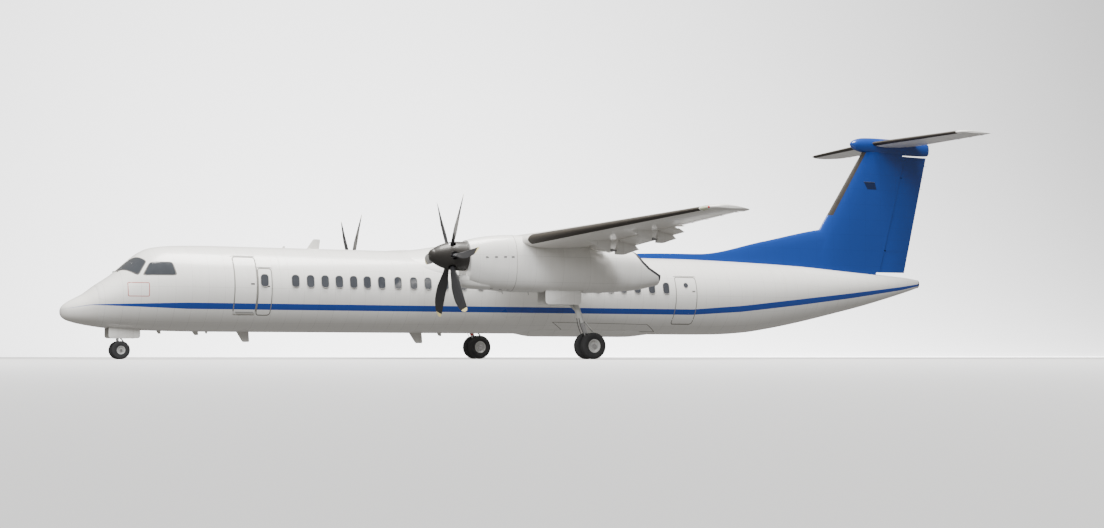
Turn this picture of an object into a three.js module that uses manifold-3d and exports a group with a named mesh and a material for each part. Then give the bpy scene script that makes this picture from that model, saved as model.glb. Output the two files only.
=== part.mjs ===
// High-wing, T-tailed, twin-turboprop airliner, standing on its landing gear.
// Millimetres. +X towards the nose, +Y to port, +Z up, origin on the ground under the middle of its box.
// A station is the distance aft of the nose tip. A level is the height above the fuselage centreline.

import * as THREE from 'three';
import { mergeVertices } from 'three/addons/utils/BufferGeometryUtils.js';
import Module from 'manifold-3d';

const wasm = await Module();
wasm.setup();

// Whole aeroplane
const LENGTH = 32840;
const SPAN = 28420;
const CENTRELINE_HEIGHT = 2200;
const FIT = 0.3;
const EDGE_GAP = 8;

// Fuselage
const RADIUS = 1345;
const FUSELAGE_SIDES = 32;
const RADOME_JOINT = 1000;
const FORWARD_JOINT = 6500;
const AFT_JOINT = 20500;
const TAIL_JOINT = 26800;
const TAIL_END = 32250;
const SKIN_STEP = 9;

// Wing
const WING_KINK = 5030;
const ROOT_LEADING = 13150;
const ROOT_CHORD = 2850;
const TIP_LEADING = 14300;
const TIP_CHORD = 1250;
const WING_LEVEL = 1500;
const DIHEDRAL = 2.5;
const INCIDENCE = 2;
const ROOT_THICKNESS = 0.18;
const TIP_THICKNESS = 0.13;
const CAMBER = 0.02;

// Flaps turn about a hinge line below the wing; the droop is their angle at rest
const FLAP_DROOP = 15;
const FLAP_HINGE_CHORD = 0.70;
const FLAP_HINGE_DROP = -0.16;
const COVE_CHORD = 0.735;
const SHROUD_CHORD = 0.87;
const SHROUD_SKIN = 0.010;
const INNER_FLAP = [1150, 3700];
const OUTER_FLAP = [5080, 10200];
const FLAP_FAIRINGS = [7000, 9500];

// Ailerons
const AILERON = [10330, 13700];
const AILERON_HINGE = 0.76;
const AILERON_SPAR = 0.71;

// Tail
const FIN_TOP = 5800;
const RUDDER_BOTTOM = 1060;
const RUDDER_TOP = 5520;
const TAILPLANE_LEVEL = 5930;
const TAILPLANE_HALF_SPAN = 4635;
const TAILPLANE_THICKNESS = 0.11;
const ELEVATOR = [600, 4330];
const ELEVATOR_HINGE = 0.68;
const ELEVATOR_SPAR = 0.62;
const BULLET_TOP = 6160;
const BULLET_HALF_WIDTH = 240;

// Nacelles and propellers
const NACELLE_OFFSET = 4400;
const COWL_FACE = 11400;
const COWL_JOINT = 12900;
const FIREWALL = 13850;
const NACELLE_REAR = 18140;
const COWL_WALL = 40;
const THRUST_LEVEL = 970;
const PROPELLER_STATION = 10880;
const PROPELLER_RADIUS = 2055;
const BLADES = 6;
const SPINNER_RADIUS = 450;
const SPINNER_TIP = 10180;
const SPINNER_REAR = 11370;
const SPINNER_WALL = 25;
const SHAFT_RADIUS = 45;

// Landing gear
const NOSE_AXLE = 1810;
const NOSE_TRAIL = 60;
const NOSE_TYRE = { radius: 280, width: 170, rim: 130, offset: 190 };
const MAIN_AXLE = 15750;
const MAIN_TYRE = { radius: 420, width: 250, rim: 215, offset: 235 };
const BAY_HALF_WIDTH = 300;
const DOOR_SHEET = 25;

// Cabin doors
const AIRSTAIR = { front: 5050, rear: 5720, bottom: -810, top: 950 };
const AIRSTAIR_THICKNESS = 70;
const AIRSTAIR_TUBE = 14;
const AIRSTAIR_TUBE_END = 30;
const TREAD_SHARES = [0.13, 0.31, 0.49, 0.67, 0.85];
const AIRSTAIR_GROOVE = 46;
const PLUG_THICKNESS = 50;
const PLUG_EDGE = 4;

// Flats on round parts: fine where a part turns in another, coarse on short stubs
const FINE = 16;
const MEDIUM = 12;
const COARSE = 8;

const SIDES = { left: 1, right: -1 };
const FORE = new THREE.Vector3(1, 0, 0);
const AFT = new THREE.Vector3(-1, 0, 0);
const PORT = new THREE.Vector3(0, 1, 0);
const UP = new THREE.Vector3(0, 0, 1);
const rad = THREE.MathUtils.degToRad;
const lerp = THREE.MathUtils.lerp;

const place = (station, y, level) => new THREE.Vector3(LENGTH / 2 - station, y, CENTRELINE_HEIGHT + level);

// What a function gives for each of a number of even steps round a circle
const around = (count, made, start = 0) => (
  Array.from({ length: count }, (_, k) => made((2 * Math.PI * (k + start)) / count)));

// Solids from three.js geometry, and back
function solidOf(geometry) {
  const bare = geometry.index ? geometry.clone() : geometry;
  bare.deleteAttribute('normal');
  bare.deleteAttribute('uv');
  const merged = mergeVertices(bare, 1e-3);
  return new wasm.Manifold(new wasm.Mesh({
    numProp: 3,
    vertProperties: merged.attributes.position.array,
    triVerts: new Uint32Array(merged.index.array),
  }));
}

function geometryOf(solid) {
  const mesh = solid.getMesh();
  const geometry = new THREE.BufferGeometry();
  geometry.setAttribute('position', new THREE.BufferAttribute(mesh.vertProperties, mesh.numProp));
  geometry.setIndex(new THREE.BufferAttribute(mesh.triVerts, 1));
  return geometry;
}

const join = (...solids) => solids.reduce((whole, part) => whole.add(part));
const cut = (whole, ...tools) => tools.reduce((rest, tool) => rest.subtract(tool), whole);

// Triangles across a closed ring of points, wound as the ring is
function capOf(ring) {
  const normal = new THREE.Vector3();
  ring.forEach((point, k) => {
    const next = ring[(k + 1) % ring.length];
    normal.add(new THREE.Vector3().crossVectors(point, next));
  });
  const size = [Math.abs(normal.x), Math.abs(normal.y), Math.abs(normal.z)];
  const flat = size.indexOf(Math.max(...size));
  const [first, second] = ['x', 'y', 'z'].filter((_, axis) => axis !== flat);
  const outline = ring.map((point) => new THREE.Vector2(point[first], point[second]));
  const area = THREE.ShapeUtils.area(outline);
  return THREE.ShapeUtils.triangulateShape(outline, []).map(([a, b, c]) => {
    const turn = THREE.ShapeUtils.area([outline[a], outline[b], outline[c]]);
    return turn * area > 0 ? [a, b, c] : [a, c, b];
  });
}

// A closed body through rings of equal length; a ring of one point is a tip
function loft(rings) {
  const points = [];
  const starts = rings.map((ring) => points.push(...ring) - ring.length);
  const faces = [];
  for (let i = 1; i < rings.length; i++) {
    const [a, b] = [starts[i - 1], starts[i]];
    const [countA, countB] = [rings[i - 1].length, rings[i].length];
    const count = Math.max(countA, countB);
    for (let k = 0; k < count; k++) {
      const next = (k + 1) % count;
      if (countA > 1) faces.push([a + k, a + next, countB > 1 ? b + k : b]);
      if (countB > 1) faces.push([countA > 1 ? a + next : a, b + next, b + k]);
    }
  }
  const last = rings.length - 1;
  if (rings[0].length > 1) capOf(rings[0]).forEach(([p, q, r]) => faces.push([p, r, q]));
  if (rings[last].length > 1) {
    capOf(rings[last]).forEach((face) => faces.push(face.map((k) => starts[last] + k)));
  }
  const volume = faces.reduce((sum, [p, q, r]) => (
    sum + points[p].dot(new THREE.Vector3().crossVectors(points[q], points[r]))), 0);
  const outward = volume > 0 ? faces : faces.map(([p, q, r]) => [p, r, q]);
  const geometry = new THREE.BufferGeometry().setFromPoints(points);
  geometry.setIndex(outward.flat());
  return solidOf(geometry);
}

// The same solid with every face moved outwards, to leave a fitting gap in what it cuts
function grown(solid, distance) {
  const geometry = geometryOf(solid);
  const position = geometry.attributes.position;
  const index = geometry.index;
  const corner = (i) => new THREE.Vector3().fromBufferAttribute(position, i);
  const facing = Array.from({ length: position.count }, () => []);
  for (let i = 0; i < index.count; i += 3) {
    const [a, b, c] = [0, 1, 2].map((k) => index.getX(i + k));
    const normal = new THREE.Triangle(corner(a), corner(b), corner(c)).getNormal(new THREE.Vector3());
    [a, b, c].forEach((k) => facing[k].push(normal));
  }
  facing.forEach((normals, i) => {
    const shift = new THREE.Vector3();
    for (let pass = 0; pass < 8; pass++) {
      normals.forEach((normal) => shift.addScaledVector(normal, Math.max(0, distance - normal.dot(shift))));
    }
    position.setXYZ(i, ...corner(i).add(shift.clampLength(0, 4 * distance)).toArray());
  });
  return solidOf(geometry);
}

function block(low, high) {
  const size = new THREE.Vector3().subVectors(high, low);
  const geometry = new THREE.BoxGeometry(Math.abs(size.x), Math.abs(size.y), Math.abs(size.z));
  const centre = new THREE.Vector3().addVectors(low, high).multiplyScalar(0.5);
  return solidOf(geometry.translate(centre.x, centre.y, centre.z));
}

function rod(from, to, radius, sides = FINE) {
  const along = new THREE.Vector3().subVectors(to, from);
  const geometry = new THREE.CylinderGeometry(radius, radius, along.length(), sides);
  const turn = new THREE.Quaternion().setFromUnitVectors(PORT, along.clone().normalize());
  const centre = new THREE.Vector3().addVectors(from, to).multiplyScalar(0.5);
  geometry.applyMatrix4(new THREE.Matrix4().compose(centre, turn, new THREE.Vector3(1, 1, 1)));
  return solidOf(geometry);
}

// A bar of rectangular section; its width is measured along the direction nearest to the one given
function bar(from, to, width, height, widthWay = PORT) {
  const along = new THREE.Vector3().subVectors(to, from);
  const forward = along.clone().normalize();
  const across = squareTo(forward, widthWay).normalize();
  const over = new THREE.Vector3().crossVectors(forward, across);
  const geometry = new THREE.BoxGeometry(along.length(), width, height);
  const centre = new THREE.Vector3().addVectors(from, to).multiplyScalar(0.5);
  geometry.applyMatrix4(new THREE.Matrix4().makeBasis(forward, across, over).setPosition(centre));
  return solidOf(geometry);
}

// A direction with what it has along an axis taken out
const squareTo = (axis, way) => way.clone().addScaledVector(axis, -axis.dot(way));

// The hole that lets a round pin of many flats turn with the least gap
const boreFor = (radius, sides) => (radius + 0.05) / Math.cos(Math.PI / sides);

function turned(solid, point, axis, degrees) {
  const geometry = geometryOf(solid);
  const matrix = new THREE.Matrix4().makeTranslation(point.x, point.y, point.z)
    .multiply(new THREE.Matrix4().makeRotationAxis(axis, rad(degrees)))
    .multiply(new THREE.Matrix4().makeTranslation(-point.x, -point.y, -point.z));
  return solidOf(geometry.applyMatrix4(matrix));
}

// A row of a table by its first column, with straight lines between the rows
function between(table, value) {
  const above = Math.max(1, table.findIndex((row) => row[0] >= value));
  const [low, high] = [table[above - 1], table[above]];
  const share = (value - low[0]) / (high[0] - low[0]);
  return low.map((number, column) => lerp(number, high[column], share));
}

// Fuselage sections: station, crown level, keel level, half width, level of the widest point
const FUSELAGE = [
  [50, -610, -915, 165, -770],
  [150, -515, -1000, 300, -760],
  [350, -390, -1075, 455, -735],
  [650, -230, -1145, 625, -680],
  [1000, 30, -1205, 790, -560],
  [1500, 370, -1265, 980, -390],
  [2000, 800, -1295, 1110, -250],
  [2300, 1050, -1308, 1175, -200],
  [2650, 1215, -1318, 1235, -150],
  [3200, 1300, -1330, 1300, -80],
  [4000, 1335, -1342, 1338, -20],
  [4700, 1345, -1345, 1345, 0],
  [6500, 1345, -1345, 1345, 0],
  [20500, 1345, -1345, 1345, 0],
  [21700, 1345, -1345, 1345, 0],
  [23000, 1325, -1335, 1300, 15],
  [24200, 1295, -1270, 1215, 50],
  [25500, 1255, -1090, 1090, 110],
  [26800, 1205, -850, 930, 190],
  [28200, 1120, -550, 740, 290],
  [29600, 1025, -235, 530, 400],
  [30900, 935, 100, 335, 510],
  [31900, 850, 380, 185, 610],
  [TAIL_END, 800, 490, 120, 650],
];
const NOSE_TIP_LEVEL = -765;

function fuselageRing([station, crown, keel, halfWidth, widest]) {
  return around(FUSELAGE_SIDES, (angle) => {
    const rise = Math.sin(angle) > 0 ? crown - widest : widest - keel;
    return place(station, halfWidth * Math.cos(angle), widest + rise * Math.sin(angle));
  });
}

function fuselageBody(front, rear) {
  const rows = FUSELAGE.filter(([station]) => station > front && station < rear);
  if (front > 0) rows.unshift(between(FUSELAGE, front));
  rows.push(between(FUSELAGE, rear));
  const rings = rows.map(fuselageRing);
  if (front <= 0) rings.unshift([place(0, 0, NOSE_TIP_LEVEL)]);
  return loft(rings);
}

// A piece of the cylindrical skin between two stations and two levels, on one side. The edge is added
// all round, and leaves the facets between the two levels where they are.
function skinPiece(front, rear, bottom, top, inner, outer, side, edge = 0) {
  const low = Math.asin(bottom / RADIUS);
  const high = Math.asin(top / RADIUS);
  const steps = Math.ceil((high - low) / rad(SKIN_STEP));
  const angles = Array.from({ length: steps + 1 }, (_, k) => lerp(low, high, k / steps));
  if (edge > 0) {
    angles.unshift(low - edge / RADIUS);
    angles.push(high + edge / RADIUS);
  }
  const arc = (radius) => angles.map((angle) => [side * radius * Math.cos(angle), radius * Math.sin(angle)]);
  const outline = [...arc(outer), ...arc(inner).reverse()];
  const ends = [front - edge, rear + edge];
  return loft(ends.map((station) => outline.map(([y, level]) => place(station, y, level))));
}

// A plug panel that lies in the skin, and the recess that it lies in
function plugPanel(front, rear, bottom, top, side) {
  const floor = RADIUS - PLUG_THICKNESS;
  const seat = floor + FIT / Math.cos(rad(SKIN_STEP / 2));
  return {
    panel: skinPiece(front, rear, bottom, top, seat, RADIUS, side),
    recess: skinPiece(front, rear, bottom, top, floor, RADIUS + 60, side, PLUG_EDGE),
  };
}

// Blade aerials of lens section: front, rear, level of the root, level of the tip, sweep back
const FORWARD_AERIALS = [
  [5450, 5960, -1320, -1660, 60],
];
const CENTRE_AERIALS = [
  [7750, 8280, 1320, 1660, 80],
  [11300, 11880, -1320, -1680, 80],
];
const AERIAL_HALF_WIDTH = 22;
const AERIAL_TAPER = 0.55;

function aerial([front, rear, level, tipLevel, sweep]) {
  const ring = (at, shift, share) => {
    const middle = (front + rear) / 2 + shift;
    const reach = ((rear - front) / 2) * share;
    const half = AERIAL_HALF_WIDTH * share;
    return [[-reach, 0], [0, half], [reach, 0], [0, -half]].map(([along, y]) => place(middle + along, y, at));
  };
  return loft([ring(level, 0, 1), ring(tipLevel, sweep, AERIAL_TAPER)]);
}

// Radome
const radome = fuselageBody(0, RADOME_JOINT - FIT);

// Cockpit glass: four corners of each pane on the skin, as station, distance from the middle, level
const PANES = {
  windscreen: [[1590, 70, 385], [2060, 70, 850], [2420, 800, 775], [2130, 985, 330]],
  side_window: [[2260, 1055, 340], [2500, 880, 745], [3150, 1030, 770], [3250, 1240, 350]],
};
const PANE_DEPTH = 28;

function panePrism(corners, side, inset, depth, reach) {
  const points = corners.map(([station, y, level]) => place(station, side * y, level));
  const middle = points.reduce((sum, point) => sum.add(point), new THREE.Vector3()).multiplyScalar(0.25);
  const normal = new THREE.Vector3().crossVectors(
    new THREE.Vector3().subVectors(points[2], points[0]),
    new THREE.Vector3().subVectors(points[3], points[1]),
  ).normalize();
  if (normal.y * side < 0) normal.negate();
  const ring = (offset) => points.map((point) => {
    const rise = normal.dot(new THREE.Vector3().subVectors(point, middle));
    const flat = point.clone().addScaledVector(normal, -rise);
    const inward = new THREE.Vector3().subVectors(middle, flat).normalize();
    return flat.addScaledVector(inward, inset).addScaledVector(normal, offset);
  });
  return loft([ring(-depth), ring(reach)]);
}

const forwardSkin = fuselageBody(RADOME_JOINT, FORWARD_JOINT - FIT);
const panes = {};
const paneRecesses = [];
for (const [sideName, side] of Object.entries(SIDES)) {
  for (const [paneName, corners] of Object.entries(PANES)) {
    const glass = panePrism(corners, side, 1, PANE_DEPTH - FIT, 300);
    panes[`${paneName}_${sideName}`] = glass.intersect(forwardSkin);
    paneRecesses.push(panePrism(corners, side, 0, PANE_DEPTH, 400));
  }
}

// Airstair door: hinged along its sill, with treads on its inner face that stand level when it is down
const AIRSTAIR_OPEN = 134;
const airstairHinge = (() => {
  const radius = RADIUS - AIRSTAIR_TUBE - 4;
  const angle = Math.asin(AIRSTAIR.bottom / RADIUS);
  return { y: radius * Math.cos(angle), level: radius * Math.sin(angle) };
})();

function airstairDoor() {
  const { front, rear, bottom, top } = AIRSTAIR;
  const panel = skinPiece(front, rear, bottom, top, RADIUS - AIRSTAIR_THICKNESS, RADIUS, 1);
  const treadTilt = rad(AIRSTAIR_OPEN);
  const inward = [Math.cos(treadTilt), Math.sin(treadTilt)];
  const across = [-inward[1], inward[0]];
  const head = { y: 900, level: top };
  const seat = RADIUS - AIRSTAIR_THICKNESS / 2;
  const treads = TREAD_SHARES.map((share) => {
    const y = lerp(airstairHinge.y, head.y, share) - 90;
    const level = lerp(airstairHinge.level, head.level, share);
    const half = y * inward[0] + level * inward[1];
    const outer = half + Math.sqrt(half * half - (y * y + level * level - seat * seat));
    const outline = [[40, -14], [40, 14], [-outer, 14], [-outer, -14]].map(([reach, lift]) => [
      y + reach * inward[0] + lift * across[0],
      level + reach * inward[1] + lift * across[1],
    ]);
    return loft([front + 75, rear - 75].map((station) => outline.map(([a, b]) => place(station, a, b))));
  });
  const tube = rod(
    place(front - AIRSTAIR_TUBE_END, airstairHinge.y, airstairHinge.level),
    place(rear + AIRSTAIR_TUBE_END, airstairHinge.y, airstairHinge.level),
    AIRSTAIR_TUBE,
    MEDIUM,
  );
  return join(panel, tube, ...treads);
}

function airstairRecess() {
  const { front, rear, bottom, top } = AIRSTAIR;
  const floor = RADIUS - AIRSTAIR_THICKNESS - EDGE_GAP;
  const opening = skinPiece(front, rear, bottom, top, floor, RADIUS + 60, 1, EDGE_GAP);
  const vestibule = block(place(front + 45, 100, bottom + 60), place(rear - 45, RADIUS, top - 60));
  const groove = rod(
    place(front - EDGE_GAP, airstairHinge.y, airstairHinge.level),
    place(rear + EDGE_GAP, airstairHinge.y, airstairHinge.level),
    AIRSTAIR_GROOVE,
  );
  const bore = rod(
    place(front - AIRSTAIR_TUBE_END - 2, airstairHinge.y, airstairHinge.level),
    place(rear + AIRSTAIR_TUBE_END + 2, airstairHinge.y, airstairHinge.level),
    boreFor(AIRSTAIR_TUBE, MEDIUM),
    MEDIUM,
  );
  return join(opening, vestibule, groove, bore);
}

// Plug panels: station of the front edge, of the rear edge, level of the bottom, of the top, side
const PLUGS = {
  forward_exit_left: [5790, 6200, -810, 600, 1],
  forward_exit_right: [5300, 6050, -810, 850, -1],
  rear_door_left: [20790, 21590, -970, 620, 1],
  rear_door_right: [20790, 21590, -970, 620, -1],
};
const plugs = Object.fromEntries(Object.entries(PLUGS).map(([name, row]) => [name, plugPanel(...row)]));

// Nose gear bay in the belly
const NOSE_BAY = { front: 1400, rear: 2400, roof: -700 };
const noseBay = block(
  place(NOSE_BAY.front, -BAY_HALF_WIDTH, -1500),
  place(NOSE_BAY.rear, BAY_HALF_WIDTH, NOSE_BAY.roof),
);

const fuselageForward = join(
  cut(
    forwardSkin,
    ...paneRecesses,
    airstairRecess(),
    plugs.forward_exit_left.recess,
    plugs.forward_exit_right.recess,
    noseBay,
  ),
  ...FORWARD_AERIALS.map(aerial),
);

const fuselageAft = cut(
  fuselageBody(AFT_JOINT, TAIL_JOINT - FIT),
  plugs.rear_door_left.recess,
  plugs.rear_door_right.recess,
);

const tailCone = fuselageBody(TAIL_JOINT, TAIL_END);

// What pieces that lie on the barrel are cut with
const barrelSkin = grown(fuselageBody(FORWARD_JOINT, AFT_JOINT), FIT);

// Ventral fairing under the belly: station, depth below the keel, half width
const VENTRAL = [
  [15200, 4, 330],
  [15900, 95, 600],
  [19300, 95, 600],
  [20300, 4, 330],
];
const ventralFairing = cut(
  loft(VENTRAL.map(([station, depth, halfWidth]) => {
    const low = -RADIUS - depth;
    return [
      [-1, -1180], [-1, -1235], [-0.72, low + 45], [-0.4, low],
      [0.4, low], [0.72, low + 45], [1, -1235], [1, -1180],
    ].map(([share, level]) => place(station, share * halfWidth, level));
  })),
  barrelSkin,
);

// Wing shape at a distance from the middle: leading edge station, chord, level, thickness
function planform(y) {
  const share = Math.max(0, (y - WING_KINK) / (SPAN / 2 - WING_KINK));
  return {
    leading: lerp(ROOT_LEADING, TIP_LEADING, share),
    chord: lerp(ROOT_CHORD, TIP_CHORD, share),
    level: WING_LEVEL + Math.max(0, y - WING_KINK) * Math.tan(rad(DIHEDRAL)),
    thickness: lerp(ROOT_THICKNESS, TIP_THICKNESS, share),
  };
}

const halfThickness = (at, thickness) => 5 * thickness
  * (0.2969 * Math.sqrt(at) - 0.126 * at - 0.3516 * at ** 2 + 0.2843 * at ** 3 - 0.1015 * at ** 4);
const camberLine = (at) => 4 * CAMBER * at * (1 - at);

// A point of a wing section, in shares of the chord aft of the leading edge and above the chord line
function wingPoint(y, side, aft, up) {
  const { leading, chord, level } = planform(y);
  return place(leading + aft * chord, side * y, level + up * chord - aft * chord * Math.tan(rad(INCIDENCE)));
}
const wingUpper = (y, aft) => camberLine(aft) + halfThickness(aft, planform(y).thickness);
const wingLower = (y, aft) => camberLine(aft) - halfThickness(aft, planform(y).thickness);

const SECTION = [1, 0.86, 0.68, 0.48, 0.3, 0.16, 0.07, 0.02, 0];
function wingRing(y, side) {
  const upper = SECTION.map((at) => wingPoint(y, side, at, wingUpper(y, at)));
  const lower = SECTION.slice(0, -1).reverse().map((at) => wingPoint(y, side, at, wingLower(y, at)));
  return [...upper, ...lower];
}

function wingTipRing(side) {
  const rim = wingRing(SPAN / 2, side);
  const middle = wingPoint(SPAN / 2, side, 0.62, 0.01);
  return rim.map((point) => new THREE.Vector3(
    lerp(middle.x, point.x, 0.62),
    point.y,
    lerp(middle.z, point.z, 0.45),
  ));
}

// The space behind the rear spar that a flap or an aileron takes, between two distances from the middle
function flapSpace(inner, outer, side) {
  return loft([inner, outer].map((y) => {
    const skin = (at) => wingUpper(y, at) - SHROUD_SKIN;
    return [[COVE_CHORD, -0.3], [COVE_CHORD, skin(COVE_CHORD)], [SHROUD_CHORD, skin(SHROUD_CHORD)],
      [SHROUD_CHORD, 0.3], [1.2, 0.3], [1.2, -0.3]]
      .map(([aft, up]) => wingPoint(y, side, aft, up));
  }));
}

function aileronSpace(side) {
  return loft([AILERON[0] - 12, AILERON[1] + 12].map((y) => (
    [[AILERON_SPAR, -0.3], [AILERON_SPAR, 0.3], [1.2, 0.3], [1.2, -0.3]]
      .map(([aft, up]) => wingPoint(y, side, aft, up)))));
}

// Flap section as if drawn in, nose under the shroud
function flapRing(y, side) {
  const under = (at) => wingUpper(y, at) - SHROUD_SKIN - 0.0055;
  const upper = (at) => wingUpper(y, at);
  const lower = (at) => wingLower(y, at);
  return [
    [1, upper(1)], [0.94, upper(0.94)], [0.89, upper(0.89) - 0.002], [0.876, under(0.876)],
    [0.79, under(0.79)], [0.76, under(0.76) - 0.012], [0.747, 0.012], [0.756, lower(0.756) + 0.014],
    [0.79, lower(0.79)], [0.89, lower(0.89)], [1, lower(1)],
  ].map(([aft, up]) => wingPoint(y, side, aft, up));
}

// A straight hinge line between two points, as a start and a unit direction
function lineOf(from, to) {
  return { point: from, axis: new THREE.Vector3().subVectors(to, from).normalize() };
}

const flapHinge = ([inner, outer], side) => lineOf(
  wingPoint(inner, side, FLAP_HINGE_CHORD, FLAP_HINGE_DROP),
  wingPoint(outer, side, FLAP_HINGE_CHORD, FLAP_HINGE_DROP),
);

// Where a hinge line crosses a distance from the middle
function crossing({ point, axis }, y) {
  return point.clone().addScaledVector(axis, (y - point.y) / axis.y);
}

// A positive angle turns the trailing edge down on either side
const droopOf = (solid, line, side, degrees) => turned(solid, line.point, line.axis, -side * degrees);

const HINGE_PIN = 20;
const LUG_RADIUS = 50;
const TONGUE_RADIUS = 44;

// Fairing under the wing at a flap hinge: share of the chord, low and high in shares of the chord, half
// width. The front is fixed, the rear turns with the flap.
const FAIRING_FRONT = [
  [0.44, -0.095, -0.02, 50],
  [0.55, -0.145, 0, 78],
  [0.665, -0.185, 0, 80],
];
const FAIRING_REAR = [
  [0.752, -0.19, -0.02, 80],
  [0.86, -0.16, 0, 70],
  [0.97, -0.09, 0, 45],
];

function flapFairing(y, side, line) {
  const hinge = crossing(line, side * y);
  const { chord } = planform(y);
  const ring = ([aft, low, high, halfWidth]) => around(COARSE, (angle) => {
    const middle = wingPoint(y, side, aft, (low + high) / 2);
    const reach = ((high - low) / 2) * chord * 1.08;
    return middle.add(new THREE.Vector3(0, halfWidth * Math.cos(angle), reach * Math.sin(angle)));
  }, 0.5);
  const fixed = loft([[wingPoint(y, side, 0.36, wingLower(y, 0.36) + 0.01)], ...FAIRING_FRONT.map(ring)]);
  const movingShell = loft([...FAIRING_REAR.map(ring), [wingPoint(y, side, 1.06, -0.035)]]);
  const offset = (distance) => hinge.clone().addScaledVector(line.axis, distance);
  const armWay = (fore, up) => squareTo(line.axis, new THREE.Vector3(fore * chord, 0, up * chord));
  const lug = join(
    rod(offset(-20), offset(20), LUG_RADIUS, COARSE),
    bar(offset(0), offset(0).add(armWay(0.06, 0.01)), 40, 70, line.axis),
  );
  const bore = rod(offset(-60), offset(60), boreFor(HINGE_PIN, MEDIUM), MEDIUM);
  const tongue = join(
    rod(offset(20 + FIT), offset(46), TONGUE_RADIUS, COARSE),
    bar(offset(33), offset(33).add(armWay(-0.12, 0.01)), 26 - 2 * FIT, 60, line.axis),
    rod(offset(-19), offset(30), HINGE_PIN, MEDIUM),
  );
  return { fixed: cut(join(fixed, lug), bore), moving: join(movingShell, tongue) };
}

// Control surface ring: a nose that is round about the hinge and sides that meet at the trailing edge
function surfaceRing(hinge, noseRadius, chord, aftWay, upWay) {
  const noseAngles = [90, 135, 180, 225, 270];
  const nose = noseAngles.map((degrees) => hinge.clone()
    .addScaledVector(aftWay, noseRadius * Math.cos(rad(degrees)))
    .addScaledVector(upWay, noseRadius * Math.sin(rad(degrees))));
  const trailing = [-3, 3].map((half) => hinge.clone()
    .addScaledVector(aftWay, chord)
    .addScaledVector(upWay, half));
  return [...nose, ...trailing];
}

// Hinge brackets on a hinge line: the fixed part gets a lug with a bore, the moving part a slot and a pin
function bracket(point, axis, forward, noseRadius, reach) {
  const lug = 18;
  const slot = 32;
  const pin = 10;
  const offset = (distance) => point.clone().addScaledVector(axis, distance);
  const square = squareTo(axis, forward).normalize();
  const ahead = point.clone().addScaledVector(square, reach);
  const behind = point.clone().addScaledVector(square, -22);
  return {
    lug: bar(behind, ahead, lug, 44, axis),
    bore: rod(offset(-slot), offset(slot), boreFor(pin, COARSE), COARSE),
    slot: rod(offset(-slot / 2), offset(slot / 2), noseRadius + 22, COARSE),
    pin: rod(offset(-slot / 2 - 8), offset(slot / 2 + 8), pin, COARSE),
  };
}

function withBrackets(fixed, moving, brackets) {
  let carrier = fixed;
  let surface = moving;
  for (const { lug, bore, slot, pin } of brackets) {
    carrier = join(carrier, cut(lug, bore));
    surface = join(cut(surface, slot), pin);
  }
  return [carrier, surface];
}

// Outer wing, aileron and flap of one side
function outerWing(side) {
  const full = loft([
    wingRing(WING_KINK + FIT, side),
    wingRing(SPAN / 2 - 260, side),
    wingTipRing(side),
  ]);
  const line = flapHinge(OUTER_FLAP, side);
  const fairings = FLAP_FAIRINGS.map((y) => flapFairing(y, side, line));
  let wing = cut(
    full,
    flapSpace(OUTER_FLAP[0] - 20, OUTER_FLAP[1] + 20, side),
    aileronSpace(side),
  );
  wing = join(wing, ...fairings.map(({ fixed }) => fixed));
  const flap = join(loft(OUTER_FLAP.map((y) => flapRing(y, side))), ...fairings.map(({ moving }) => moving));

  const hinge = aileronHinge(side);
  const noseRadius = (y) => halfThickness(AILERON_HINGE, planform(y).thickness) * planform(y).chord;
  const aileron = loft(AILERON.map((y) => surfaceRing(
    crossing(hinge, side * y),
    noseRadius(y),
    planform(y).chord * (1 - AILERON_HINGE),
    AFT,
    UP,
  )));
  const brackets = [AILERON[0] + 500, AILERON[1] - 500].map((y) => (
    bracket(crossing(hinge, side * y), hinge.axis, FORE, noseRadius(y), 0.09 * planform(y).chord)));
  const [wingWithLugs, aileronWithPins] = withBrackets(wing, aileron, brackets);
  return { wing: wingWithLugs, flap: droopOf(flap, line, side, FLAP_DROOP), aileron: aileronWithPins };
}

function aileronHinge(side) {
  const [inner, outer] = AILERON.map((y) => wingPoint(y, side, AILERON_HINGE, camberLine(AILERON_HINGE)));
  return lineOf(inner, outer);
}

// Nacelle sections: station, top level, bottom level, half width
const NACELLE = [
  [11400, 1470, 110, 500],
  [11750, 1555, 10, 570],
  [12300, 1635, -60, 605],
  [12900, 1675, -92, 618],
  [13850, 1640, -102, 620],
  [15200, 1520, -100, 620],
  [15900, 1385, -90, 612],
  [16400, 1345, -65, 590],
  [17270, 1262, 5, 520],
  [NACELLE_REAR, 1000, 180, 400],
];
const SQUARENESS = 2.5;

function nacelleRing([station, top, bottom, halfWidth], side, inset = 0) {
  const middle = (top + bottom) / 2;
  const halfHeight = (top - bottom) / 2 - inset;
  return around(FINE, (angle) => {
    const round = (value) => Math.sign(value) * Math.abs(value) ** (2 / SQUARENESS);
    return place(
      station,
      side * NACELLE_OFFSET + (halfWidth - inset) * round(Math.cos(angle)),
      middle + halfHeight * round(Math.sin(angle)),
    );
  });
}

function nacelleBody(front, rear, side, inset = 0) {
  const inside = NACELLE.filter(([station]) => station > front && station < rear);
  const rows = [between(NACELLE, front), ...inside, between(NACELLE, rear)];
  return loft(rows.map((row) => nacelleRing(row, side, inset)));
}

// Chin intake under the spinner: station, level, half height, half width
const INTAKE = [
  [11110, 215, 165, 270],
  [11180, 210, 190, 300],
  [11500, 190, 215, 350],
  [12100, 150, 200, 380],
];
const INTAKE_THROAT = [
  [11100, 215, 135, 240],
  [11500, 215, 125, 250],
  [11800, 225, 120, 250],
];
const INTAKE_SIDES = 14;
const MOUTH_RADIUS = 260;

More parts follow.
